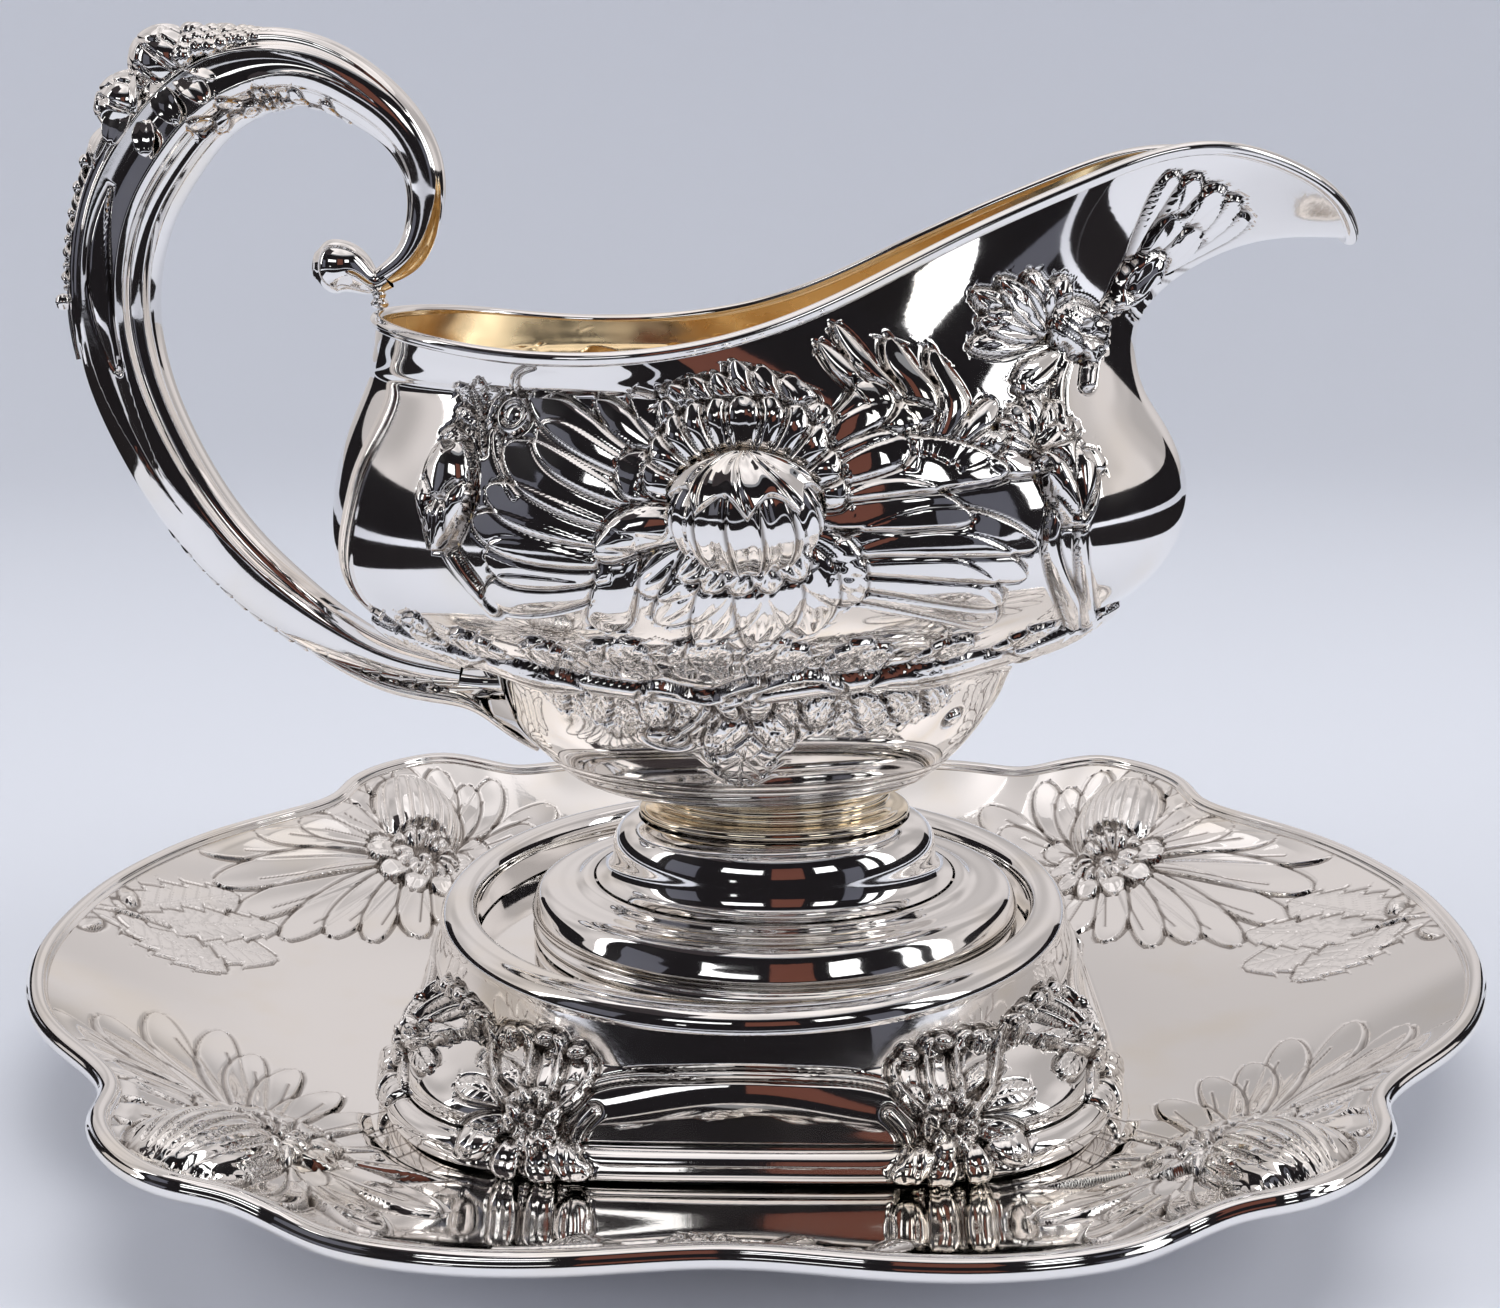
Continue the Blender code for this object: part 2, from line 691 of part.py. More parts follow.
def add_handle(col, cutters, axis):
    place(handle_half("handle_near_half", -1.0), "handle_near_half", col, silver("handle_near"), axis)
    place(handle_half("handle_far_half", 1.0), "handle_far_half", col, silver("handle_far"), axis)

    radius = BALL_RADIUS / MM
    scroll = ball("handle_scroll_ball", BALL_CENTRE, (radius, radius, radius), BALL_SEGMENTS, BALL_RINGS)
    place(scroll, "handle_scroll_ball", col, silver("scroll_ball"), axis)

    height, wide, tall = LOW_BEAD
    beads = ball("handle_rim_beads", (BEAD_X, height), (wide, wide, tall), BEAD_SEGMENTS, BEAD_RINGS)
    height, wide, tall = HIGH_BEAD
    upper = ball("upper_bead", (BEAD_X, height), (wide, wide, tall), BEAD_SEGMENTS, BEAD_RINGS)
    beads = apply_boolean(beads, upper, "UNION")
    keep_as_cutter(upper, "upper_bead_former", cutters, axis)
    place(beads, "handle_rim_beads", col, silver("rim_beads"), axis)

    swollen = [(x, z, h + ORNAMENT_CLEAR) for x, z, h in HANDLE_LINE]
    envelope = pod("handle_envelope", swollen, HANDLE_WIDTH_RATIO, HANDLE_STEPS, ENVELOPE_SIDES)
    bud_size = [r + ORNAMENT_CLEAR for r in BUD_RADII]
    bud_room = ball("bud_room", BUD_CENTRE, bud_size, BALL_SEGMENTS, BALL_RINGS)
    side_size = [r + ORNAMENT_CLEAR for r in SIDE_BUD_RADII]
    side_room = ball("side_bud_room", SIDE_BUD_CENTRE, side_size, BUD_SEGMENTS, BUD_RINGS)

    bud = ball("handle_flower_bud", BUD_CENTRE, BUD_RADII, BUD_SEGMENTS, BUD_RINGS)
    bud = apply_boolean(bud, envelope, "DIFFERENCE")
    place(bud, "handle_flower_bud", col, silver("flower_bud"), axis)

    side_bud = ball("handle_side_bud", SIDE_BUD_CENTRE, SIDE_BUD_RADII, BALL_SEGMENTS, BALL_RINGS)
    side_bud = apply_boolean(side_bud, envelope, "DIFFERENCE")
    side_bud = apply_boolean(side_bud, bud_room, "DIFFERENCE")
    place(side_bud, "handle_side_bud", col, silver("side_bud"), axis)

    sprig = pod("handle_floret_sprig", SPRIG_LINE, POD_WIDTH_RATIO, SPRIG_STEPS, POD_SIDES)
    sprig = apply_boolean(sprig, envelope, "DIFFERENCE")
    sprig = apply_boolean(sprig, bud_room, "DIFFERENCE")
    place(sprig, "handle_floret_sprig", col, silver("floret_sprig"), axis)

    trail = pod("handle_leaf_trail", TRAIL_LINE, POD_WIDTH_RATIO, TRAIL_STEPS, POD_SIDES)
    trail = apply_boolean(trail, envelope, "DIFFERENCE")
    trail = apply_boolean(trail, side_room, "DIFFERENCE")
    place(trail, "handle_leaf_trail", col, silver("leaf_trail"), axis)

    keep_as_cutter(envelope, "handle_envelope", cutters, axis)
    keep_as_cutter(bud_room, "bud_room", cutters, axis)
    keep_as_cutter(side_room, "side_bud_room", cutters, axis)


def add_foot_plate(col, axis):
    """The pad soldered between the lower end of the handle and the cup."""
    columns = bowl_columns(PLATE_COLUMNS)
    near = [columns[k] for k in range(-PLATE_REACH, PLATE_REACH + 1)]
    rows, count = PLATE_ROWS, len(near)
    heights = np.linspace(PLATE_LOW_Z, PLATE_HIGH_Z, rows) * MM
    surface = np.zeros((rows, count, 3))
    for k, curve in enumerate(near):
        reach = abs(k - PLATE_REACH) / PLATE_REACH
        for r, z in enumerate(heights):
            level = heights[-1] + (z - heights[-1]) * (1.0 - PLATE_TAPER * reach)
            rising = curve[: CURVE_SAMPLES // 2]
            surface[r, k, 0] = np.interp(level, rising[:, 2], rising[:, 0])
            surface[r, k, 1] = np.interp(level, rising[:, 2], rising[:, 1])
            surface[r, k, 2] = level
    outward = np.array(PLATE_OUTWARD)
    inner = surface + outward * PLATE_INNER
    outer = surface + outward * PLATE_OUTER
    verts = np.vstack([inner.reshape(-1, 3), outer.reshape(-1, 3)])
    half = rows * count
    faces = []
    for r in range(rows - 1):
        for k in range(count - 1):
            a, b = r * count + k, r * count + k + 1
            c, d = b + count, a + count
            faces.append((a, b, c, d))
            faces.append((half + d, half + c, half + b, half + a))
    edge = [k for k in range(count)]
    edge += [r * count + count - 1 for r in range(1, rows)]
    edge += [(rows - 1) * count + k for k in range(count - 2, -1, -1)]
    edge += [r * count for r in range(rows - 2, 0, -1)]
    for i, a in enumerate(edge):
        b = edge[(i + 1) % len(edge)]
        faces.append((b, a, half + a, half + b))
    obj = mesh_object("handle_foot_plate", verts, faces)
    place(obj, "handle_foot_plate", col, silver("foot_plate"), axis)


def build():
    clear_scene()
    col = new_collection("silver_sauce_boat")
    cutters = new_collection("cutters")
    add_stand_plate(col)
    add_border(col)
    add_base_roll(col)
    add_drum(col)
    add_well(col)
    axis = boat_axis(col)
    add_foot(col, axis)
    add_bowl(col, axis)
    add_rim(col, axis)
    add_handle(col, cutters, axis)
    add_foot_plate(col, axis)


build()
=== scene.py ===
"""Silver sauce boat in its lobed stand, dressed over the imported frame.

Every surface is a fine grid of points: a smooth base shape, raised along its
normals by chased and embossed relief. Lengths in the tables are in millimetres.
"""

import math

import bpy
import numpy as np
from mathutils import Matrix, Vector


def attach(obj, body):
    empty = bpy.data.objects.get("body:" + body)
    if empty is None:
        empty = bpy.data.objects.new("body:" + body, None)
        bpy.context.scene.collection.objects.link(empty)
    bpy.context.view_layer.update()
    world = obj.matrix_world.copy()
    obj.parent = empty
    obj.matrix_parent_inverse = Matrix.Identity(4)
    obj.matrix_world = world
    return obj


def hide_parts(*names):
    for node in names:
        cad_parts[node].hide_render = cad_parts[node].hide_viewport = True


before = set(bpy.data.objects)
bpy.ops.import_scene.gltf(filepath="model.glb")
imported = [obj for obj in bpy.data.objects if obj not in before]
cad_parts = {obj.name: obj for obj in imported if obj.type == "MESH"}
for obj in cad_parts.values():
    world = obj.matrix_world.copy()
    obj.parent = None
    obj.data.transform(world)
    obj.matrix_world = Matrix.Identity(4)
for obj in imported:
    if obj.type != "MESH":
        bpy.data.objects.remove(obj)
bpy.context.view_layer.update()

MM = 0.001
MIRROR = np.array([1.0, -1.0, 1.0])

# ---------------------------------------------------------------- base shapes

# A quarter of the stand's edge, from the end of the tray to the middle of its long side
STAND_QUARTER = [
    (134.3, 0.0, 20.5), (133.0, 17.0, 20.5), (128.6, 32.5, 20.5), (121.8, 46.3, 20.5), (113.0, 57.5, 20.5),
    (105.8, 65.2, 20.5), (100.6, 73.5, 20.6), (99.0, 82.0, 21.2), (95.0, 91.0, 21.7), (88.0, 99.0, 21.7),
    (79.0, 104.0, 21.3), (71.0, 104.8, 19.8), (64.0, 106.6, 17.6), (57.0, 110.2, 16.8), (48.0, 113.5, 16.8),
    (37.0, 115.3, 16.8), (20.0, 115.3, 17.0), (0.0, 113.5, 17.2),
]
BORDER_RADIUS = 1.9
PLATE_THICK = 0.9
PLATE_HOLE_RADIUS = 57.0
PLATE_FLAT_SIZE = 68.0
CUSHION_POWER = 4.0
BASE_ROLL_SIZE = 63.5
BASE_ROLL_RADIUS = 3.0
BASE_ROLL_GAP = 0.3
WALL_GAP = 0.6
WALL_UNDER_RING = 0.5
DRUM_TOP_RADIUS = 58.9
DRUM_BASE_SIZE = 63.0
DRUM_TOP_Z = 24.6
DRUM_SPREAD_Z = 18.0
DRUM_LEAN = 0.26
# Turned profiles, as radius and height
RING_PATH = [
    (52.6, 20.3), (52.6, 27.2), (53.3, 28.2), (55.2, 28.6), (57.4, 28.1), (58.9, 26.7), (59.4, 24.9),
]
FLOOR_RADIUS = 52.4
FLOOR_TOP_Z = 20.0

BOAT_X = 4.0
FLANGE_PATH = [
    (45.8, 20.3), (45.8, 22.6), (45.2, 23.2), (45.8, 24.0), (45.7, 27.0), (44.6, 29.2), (42.2, 30.2),
    (37.4, 30.6), (36.4, 31.2), (34.4, 31.2),
]
PEDESTAL_PATH = [
    (33.9, 31.4), (31.6, 32.6), (30.7, 34.6), (30.5, 37.6), (29.4, 40.4), (27.2, 42.2), (25.6, 42.8),
]
COLLAR_PATH = [
    (25.1, 43.1), (25.6, 44.1), (24.8, 45.0), (22.2, 45.4), (21.4, 46.2), (22.0, 47.2), (21.4, 48.1),
    (20.0, 48.5),
]
# Depth of the foot from front to back as a share of its length, at a low and a high place
OVAL_LOW = 0.88
OVAL_HIGH = 0.70
OVAL_LOW_Z = 20.0
OVAL_HIGH_Z = 46.0

# Rings round the bowl, as height, left end, right end and half depth
BOWL_LEVELS = [
    (49.0, -25.0, 25.0, 17.0), (51.2, -33.0, 32.0, 22.0), (56.0, -39.0, 38.0, 25.5),
    (62.0, -44.3, 42.8, 29.0), (70.0, -47.3, 47.5, 32.0), (74.5, -51.0, 50.0, 34.2),
    (76.6, -56.5, 53.0, 36.5), (79.4, -62.8, 57.5, 39.3), (84.0, -70.2, 64.3, 43.5),
    (90.0, -74.8, 72.4, 47.0), (97.0, -76.0, 77.0, 49.3), (104.0, -75.4, 78.2, 49.5),
    (111.0, -74.0, 76.9, 48.0), (118.0, -71.4, 73.0, 45.3), (125.0, -68.2, 69.2, 42.6),
]
# Directions of the rings' points, in degrees from the spout, and the rim's point for each
BOWL_ANGLES = [180, 162, 138, 112, 88, 66, 48, 33, 21, 12, 5, 0]
BOWL_RIM = [
    (-65.6, 0.0, 136.0), (-60.5, -21.0, 135.4), (-46.0, -35.5, 133.2), (-26.0, -42.0, 131.9),
    (-4.0, -40.5, 134.1), (17.0, -34.0, 141.2), (37.0, -28.0, 150.7), (57.0, -24.0, 159.1),
    (76.0, -20.5, 163.8), (91.0, -15.5, 160.4), (101.3, -8.5, 153.6), (104.8, 0.0, 148.6),
]
# Rows from the highest ring to the rim: share of the way, and how far the spout swings along
# x and z; then how much of that swing each direction takes
SPOUT_SWING = [(0.25, -9.2, 3.6), (0.5, -10.7, 6.0), (0.75, -5.9, 5.6), (1.0, 0.0, 0.0)]
SPOUT_SHARE = [0.0, 0.0, 0.0, 0.0, 0.0, 0.08, 0.2, 0.4, 0.65, 0.85, 0.96, 1.0]
BOWL_THICK = 0.9
RIM_RADIUS = 1.15

# Middle line of the handle from the scroll's end to the lower seat, as x, z and radius
HANDLE_LINE = [
    (-65.6, 142.6, 1.7), (-60.4, 146.2, 2.6), (-57.3, 153.0, 3.1), (-57.1, 161.0, 3.7), (-60.4, 168.0, 4.4),
    (-66.9, 173.8, 5.3), (-75.5, 177.9, 6.1), (-86.0, 177.8, 7.3), (-95.4, 173.6, 8.0),
    (-102.9, 166.2, 8.3), (-109.0, 157.2, 8.3), (-112.5, 147.2, 8.0), (-113.6, 137.0, 7.7),
    (-112.2, 125.6, 7.3), (-108.3, 114.0, 6.9), (-102.3, 102.3, 6.6), (-94.8, 92.1, 6.3),
    (-86.2, 83.8, 5.9), (-76.5, 76.8, 5.0), (-65.9, 72.0, 4.0), (-54.2, 69.6, 3.4),
]
HANDLE_WIDTH_RATIO = 1.05
HANDLE_ARC = 104

# ---------------------------------------------------------------- curves and grids


def spline(knots, values, at, period=None):
    """A smooth cubic curve through the values, closed on itself when a period is given."""
    knots = np.asarray(knots, float)
    values = np.asarray(values, float)
    flat = values.reshape(len(values), -1)
    count = len(knots)
    closed = period is not None
    gap = np.append(np.diff(knots), (period or 0.0) - (knots[-1] - knots[0]))
    matrix = np.zeros((count, count))
    right = np.zeros_like(flat)
    for i in range(count):
        if not closed and i in (0, count - 1):
            matrix[i, i] = 1.0
            continue
        before, ahead = i - 1, (i + 1) % count
        matrix[i, before] += gap[before]
        matrix[i, i] += 2 * (gap[before] + gap[i])
        matrix[i, ahead] += gap[i]
        right[i] = 6 * ((flat[ahead] - flat[i]) / gap[i] - (flat[i] - flat[before]) / gap[before])
    if closed:
        at = knots[0] + np.mod(at - knots[0], period)
    cell = np.clip(np.searchsorted(knots, at, side="right") - 1, 0, count - (1 if closed else 2))
    after = (cell + 1) % count
    curve = np.linalg.solve(matrix, right)
    h = gap[cell][:, None]
    b = (at - knots[cell])[:, None]
    a = h - b
    result = (
        curve[cell] * a**3 / (6 * h)
        + curve[after] * b**3 / (6 * h)
        + (flat[cell] / h - curve[cell] * h / 6) * a
        + (flat[after] / h - curve[after] * h / 6) * b
    )
    return result.reshape((len(at),) + values.shape[1:])


def lengths(points):
    """Distance along a line of points, starting at zero."""
    step = np.linalg.norm(np.diff(points, axis=0), axis=-1)
    return np.concatenate([[0.0], np.cumsum(step)])


def fine_line(points, count):
    """Evenly spaced places along a smooth open curve through the points."""
    pts = np.asarray(points, float)
    knots = lengths(pts[:, :2])
    dense = spline(knots, pts, np.linspace(0, knots[-1], 4000))
    along = lengths(dense[:, :2])
    wanted = np.linspace(0, along[-1], count)
    return np.stack([np.interp(wanted, along, dense[:, k]) for k in range(pts.shape[1])], axis=1)


def unit(vectors):
    return vectors / np.maximum(np.linalg.norm(vectors, axis=-1, keepdims=True), 1e-12)


def full_turn(count):
    """Angles all the way round, without the last, which would repeat the first."""
    return np.linspace(0, 2 * math.pi, count, endpoint=False)


def ball_angles(rows, columns):
    """Tilt from the bottom to the top of a ball, and turn round it."""
    return np.linspace(-0.5 * math.pi, 0.5 * math.pi, rows)[:, None], full_turn(columns)[None, :]


def around(centre, turn, reach, squash=1.0):
    """The place at a distance and direction, in degrees, from the centre."""
    side = math.radians(turn)
    return (centre[0] + reach * math.cos(side), centre[1] + squash * reach * math.sin(side))


def line_at(value, middle, width):
    """One at the middle, fading to nothing about two widths away."""
    return np.exp(-(((value - middle) / width) ** 2))


def ease(value):
    value = np.clip(value, 0.0, 1.0)
    return value * value * (3 - 2 * value)


def grid_normals(points, closed):
    """Normals of a grid of points (rows up, columns round), pointing right-handed."""
    up = np.gradient(points, axis=0)
    if closed:
        padded = np.concatenate([points[:, -1:], points, points[:, :1]], axis=1)
        along = (padded[:, 2:] - padded[:, :-2]) / 2
    else:
        along = np.gradient(points, axis=1)
    return unit(np.cross(along, up))


def grid_mesh(name, points, normals, closed=False, painted_shade=None):
    """A mesh over a grid of points in mm, with its own smooth normals."""
    rows, columns = points.shape[:2]
    index = np.arange(rows * columns).reshape(rows, columns)
    if closed:
        index = np.concatenate([index, index[:, :1]], axis=1)
    a, b = index[:-1, :-1], index[:-1, 1:]
    c, d = index[1:, 1:], index[1:, :-1]
    faces = np.stack([a, b, c, d], axis=-1).reshape(-1, 4)
    mesh = bpy.data.meshes.new(name)
    mesh.vertices.add(rows * columns)
    mesh.vertices.foreach_set("co", (points.reshape(-1) * MM).astype(np.float32))
    mesh.loops.add(faces.size)
    mesh.loops.foreach_set("vertex_index", faces.reshape(-1).astype(np.int32))
    mesh.polygons.add(len(faces))
    mesh.polygons.foreach_set("loop_start", np.arange(0, faces.size, 4, dtype=np.int32))
    mesh.update(calc_edges=True)
    mesh.polygons.foreach_set("use_smooth", np.ones(len(faces), bool))
    # Painted shade for each point, kept as an attribute that darkens the material's colour.
    shade_paint = np.zeros(rows * columns) if painted_shade is None else painted_shade.reshape(-1)
    layer = mesh.attributes.new("painted_shade", "FLOAT", "POINT")
    layer.data.foreach_set("value", shade_paint.astype(np.float32))
    mesh.normals_split_custom_set_from_vertices(normals.reshape(-1, 3).tolist())
    obj = bpy.data.objects.new(name, mesh)
    bpy.context.scene.collection.objects.link(obj)
    return obj


def raised(points, normals, height):
    """The closed grid lifted along its normals, with the normals of the new surface."""
    lifted = points + normals * height[..., None]
    return lifted, grid_normals(lifted, True)


def close_up(grid):
    """The grid with its first column repeated after its last."""
    return np.concatenate([grid, grid[:, :1]], axis=1)


def both_halves(half, mirror=1.0):
    """A closed grid from one half and its mirror image, which share their first and last columns."""
    return np.concatenate([half, (half * mirror)[:, -2:0:-1]], axis=1)


def smoothed(field, passes):
    """The field softened over its neighbours; its columns run all the way round."""
    for _ in range(passes):
        field = (np.roll(field, 1, 1) + 2 * field + np.roll(field, -1, 1)) / 4
        padded = np.concatenate([field[:1], field, field[-1:]], axis=0)
        field = (padded[:-2] + 2 * padded[1:-1] + padded[2:]) / 4
    return field


# ---------------------------------------------------------------- relief

EDGE = 0.5


class Relief:
    """Height above a base surface, built by laying chased shapes over one another, with painted shade along
    their outlines.

    The chart gives two surface coordinates, in mm, for every point of the grid.
    """

    def __init__(self, across, up):
        self.across = across
        self.up = up
        self.height = np.zeros(across.shape)
        # How far the colour is darkened by painted shade along outlines, grooves and creases.
        self.painted_shade = np.zeros(across.shape)

    def use(self, across, up):
        self.across = across
        self.up = up

    def window(self, low_a, high_a, low_b, high_b, margin):
        """Indices of the grid places inside a box of the chart."""
        a, b = self.across, self.up
        keep = (a > low_a - margin) & (a < high_a + margin)
        keep &= (b > low_b - margin) & (b < high_b + margin)
        return np.nonzero(keep)

    def lay(self, where, away, shape, carry, outline):
        """Cover the ground with a shape: away is the distance outside its edge."""
        cover = ease(0.5 - away / EDGE)
        old = self.height[where]
        self.height[where] = old * (1 - cover) + cover * (carry * old + shape)
        if outline:
            rim = line_at(away, 0.25, 0.34)
            self.height[where] -= outline * rim
            # Painted shade: the colour darkens along the groove round the shape, and fades where the shape
            # covers it.
            self.painted_shade[where] = self.painted_shade[where] * (1 - 0.8 * cover) + 0.9 * rim

    def petal(self, base, tip, width, height, scoop=0.4, bend=0.0, ribs=0, outline=0.22, **style):
        """A petal or leaf. Scoop hollows it and bend curves it; below zero, scoop keeps it round.

        Style: fat is where it is widest and root its width at the base, as shares; point is how
        blunt its tip is; start, peak and end shape its height along it; saw cuts teeth and vein
        cuts slanting lines; carry is how much of the ground under it shows through.
        """
        fat = style.get("fat", 0.68)
        root = style.get("root", 0.35)
        carry = style.get("carry", 0.3)
        point = style.get("point", 2.3)
        saw = style.get("saw", 0)
        x0, y0 = base
        dx, dy = tip[0] - x0, tip[1] - y0
        length = math.hypot(dx, dy)
        dx, dy = dx / length, dy / length
        reach = abs(width) / 2 + abs(bend) * length + 1.5
        where = self.window(min(x0, tip[0]), max(x0, tip[0]), min(y0, tip[1]), max(y0, tip[1]), reach)
        px, py = self.across[where] - x0, self.up[where] - y0
        t = (px * dx + py * dy) / length
        s = py * dx - px * dy - bend * length * 4 * t * (1 - t)

        def half_width(t):
            t = np.clip(t, 0.0, 1.0)
            rise = root + (1 - root) * np.sin(0.5 * np.pi * np.minimum(t / fat, 1.0))
            fall = np.maximum(1 - (np.maximum(t - fat, 0) / (1 - fat)) ** point, 0.0) ** 0.5
            edge = 0.5 * width * rise * fall
            if saw:
                edge = edge * (0.78 + 0.30 * np.mod(-t * saw, 1.0))
            return edge

        wide = half_width(t)
        slope = (half_width(t + 0.01) - half_width(t - 0.01)) / (0.02 * length)
        away = (np.abs(s) - wide) / np.sqrt(1 + np.minimum(slope**2, 30.0))
        away = np.where(t > 1, np.hypot(s, (t - 1) * length), away)
        away = np.where(t < 0, np.maximum(away, -t * length), away)
        part = np.clip(np.abs(s) / np.maximum(wide, 0.25), 0, 1)
        round_top = np.sqrt(np.maximum(1 - 0.92 * part**2, 0.0))
        dish = 0.38 + 0.62 * part**2.2
        cross = (1 - scoop) * round_top + scoop * dish if scoop >= 0 else round_top
        start, end = style.get("start", 0.35), style.get("end", 0.65)
        peak = style.get("peak", 0.7)
        rise = start + (1 - start) * ease(t / peak)
        rise = rise * (1 - (1 - end) * ease((t - peak) / (1 - peak)))
        shape = height * cross * rise
        if ribs:
            wave = np.cos(np.pi * ribs * s / np.maximum(wide, 0.25))
            shape = shape + 0.10 * height * wave * ease(t * 4) * ease((1 - t) * 4)
        if style.get("vein"):
            pitch = style["vein"]
            slant = np.abs(np.mod((t * length - 0.9 * np.abs(s)) / pitch, 1.0) - 0.5) * pitch
            shape = shape - 0.16 * (line_at(slant, 0, 0.16) + 1.3 * line_at(s, 0, 0.2))
        self.lay(where, away, shape, carry, outline)

    def dome(self, centre, radii, height, turn=0.0, ribs=0, outline=0.25):
        """An oval boss, creased into ribs when they are asked for."""
        reach = max(radii) + 1.5
        x0, y0 = centre
        where = self.window(x0, x0, y0, y0, reach)
        px, py = self.across[where] - x0, self.up[where] - y0
        c, s = math.cos(math.radians(turn)), math.sin(math.radians(turn))
        a, b = (px * c + py * s) / radii[0], (py * c - px * s) / radii[1]
        r = np.hypot(a, b)
        away = (r - 1) * min(radii)
        shape = height * np.maximum(1 - r**2.0, 0.0) ** 0.55
        if ribs:
            crease = np.abs(np.mod((b / np.sqrt(np.maximum(1 - 0.8 * a**2, 0.06))) * ribs / 2, 1.0) - 0.5)
            shape = shape - 0.10 * height * line_at(crease, 0, 0.11) * (r < 0.97)
            # Painted shade darkening the creases between the ribs.
            self.painted_shade[where] += 0.5 * line_at(crease, 0, 0.08) * (r < 0.95)
        self.lay(where, away, shape, 0.0, outline)

    def distance(self, points, reach, count=48):
        """Grid places near a smooth line, with their distance from it and place along it."""
        pts = np.asarray(points, float)
        knots = lengths(pts)
        line = spline(knots, pts, np.linspace(0, knots[-1], count))
        low, high = line.min(0), line.max(0)
        where = self.window(low[0], high[0], low[1], high[1], reach)
        px, py = self.across[where], self.up[where]
        best = np.full(px.shape, 1e9)
        along = np.zeros(px.shape)
        for k in range(count - 1):
            ax, ay = line[k]
            ex, ey = line[k + 1] - line[k]
            size = max(ex * ex + ey * ey, 1e-9)
            t = np.clip(((px - ax) * ex + (py - ay) * ey) / size, 0, 1)
            d = np.hypot(px - ax - t * ex, py - ay - t * ey)
            nearer = d < best
            best = np.where(nearer, d, best)
            along = np.where(nearer, (k + t) / (count - 1), along)
        return where, best, along

    def stem(self, points, width, height, taper=0.0, outline=0.2, carry=0.3):
        """A raised round line that narrows by taper along its length."""
        where, away, along = self.distance(points, width + 1.5)
        half = 0.5 * width * (1 - taper * along)
        cross = np.sqrt(np.maximum(1 - (away / np.maximum(half, 0.1)) ** 2, 0.0))
        self.lay(where, away - half, height * cross, carry, outline)

    def cut(self, points, width, depth):
        """A fine groove, with painted shade that makes it darker than the ground."""
        where, away, _ = self.distance(points, width * 3)
        mark = line_at(away, 0, width)
        self.height[where] -= depth * mark
        self.painted_shade[where] = np.maximum(self.painted_shade[where], mark)

    def blossom(self, centre, radius, count, height, turn=0.0, squash=1.0):
        """A small open flower: a ring of petals round a domed heart."""
        for k in range(count):
            tip = around(centre, turn + 360.0 * k / count, radius, squash)
            self.petal(centre, tip, 1.15 * 2 * math.pi * radius / count * 0.72, height, carry=0.5)
        self.dome(centre, (0.3 * radius, 0.3 * radius * squash), height * 1.15, ribs=2)


# ---------------------------------------------------------------- materials


def new_material(name):
    mat = bpy.data.materials.new(name)
    mat.use_nodes = True
    return mat, mat.node_tree.nodes, mat.node_tree.links


def noise(nodes, links, coords, scale, detail):
    tex = nodes.new("ShaderNodeTexNoise")
    tex.inputs["Scale"].default_value = scale
    tex.inputs["Detail"].default_value = detail
    links.new(coords.outputs["Object"], tex.inputs["Vector"])
    return tex.outputs["Fac"]


def ranged(nodes, links, value, low, high, out_low, out_high):
    """A value eased from one range into another."""
    node = nodes.new("ShaderNodeMapRange")
    node.interpolation_type = "SMOOTHSTEP"
    node.inputs["From Min"].default_value = low
    node.inputs["From Max"].default_value = high
    node.inputs["To Min"].default_value = out_low
    node.inputs["To Max"].default_value = out_high
    links.new(value, node.inputs["Value"])
    return node.outputs["Result"]


def mixed(nodes, links, factor, first, second):
    node = nodes.new("ShaderNodeMix")
    node.data_type = "RGBA"
    for socket, value in ((node.inputs[6], first), (node.inputs[7], second)):
        if isinstance(value, tuple):
            socket.default_value = (*value, 1.0)
        else:
            links.new(value, socket)
    links.new(factor, node.inputs[0])
    return node.outputs[2]


def polished(name, clean, warm, dark, roughness, scratch):
    """Polished plate: faint warm patches, painted shade darkening the recesses, uneven polish and fine
    rubbing marks.
    """
    mat, nodes, links = new_material(name)
    shader = nodes["Principled BSDF"]
    shader.inputs["Metallic"].default_value = 1.0
    coords = nodes.new("ShaderNodeTexCoord")
    patch = ranged(nodes, links, noise(nodes, links, coords, 38.0, 3.0), 0.5, 0.72, 0.0, 0.55)
    tone = mixed(nodes, links, patch, clean, warm)
    # Painted shade: the tone darkens towards the dark colour where the mesh's shade attribute marks outlines,
    # grooves and creases.
    hollow = nodes.new("ShaderNodeAttribute")
    hollow.attribute_name = "painted_shade"
    depth = ranged(nodes, links, hollow.outputs["Fac"], 0.05, 1.0, 0.0, 0.85)
    tone = mixed(nodes, links, depth, tone, dark)
    links.new(tone, shader.inputs["Base Color"])
    smear = noise(nodes, links, coords, 90.0, 4.0)
    rough = ranged(nodes, links, smear, 0.3, 0.8, roughness, roughness * 2.2)
    links.new(rough, shader.inputs["Roughness"])
    fine = noise(nodes, links, coords, 900.0, 2.0)
    bump = nodes.new("ShaderNodeBump")
    bump.inputs["Strength"].default_value = scratch
    bump.inputs["Distance"].default_value = 0.00002
    links.new(fine, bump.inputs["Height"])
    links.new(bump.outputs["Normal"], shader.inputs["Normal"])
    return mat


# The third colour of each finish is the painted shade for outlines, grooves and creases.
SILVER = polished(
    "polished_silver", (0.955, 0.935, 0.915), (0.93, 0.87, 0.77), (0.22, 0.19, 0.17), 0.035, 0.15
)
GILT = polished("gilt_lining", (0.88, 0.69, 0.42), (0.78, 0.57, 0.32), (0.42, 0.28, 0.14), 0.20, 0.3)
WORN = polished("worn_collar", (0.90, 0.80, 0.64), (0.80, 0.60, 0.36), (0.24, 0.16, 0.09), 0.06, 0.2)

# ---------------------------------------------------------------- pieces


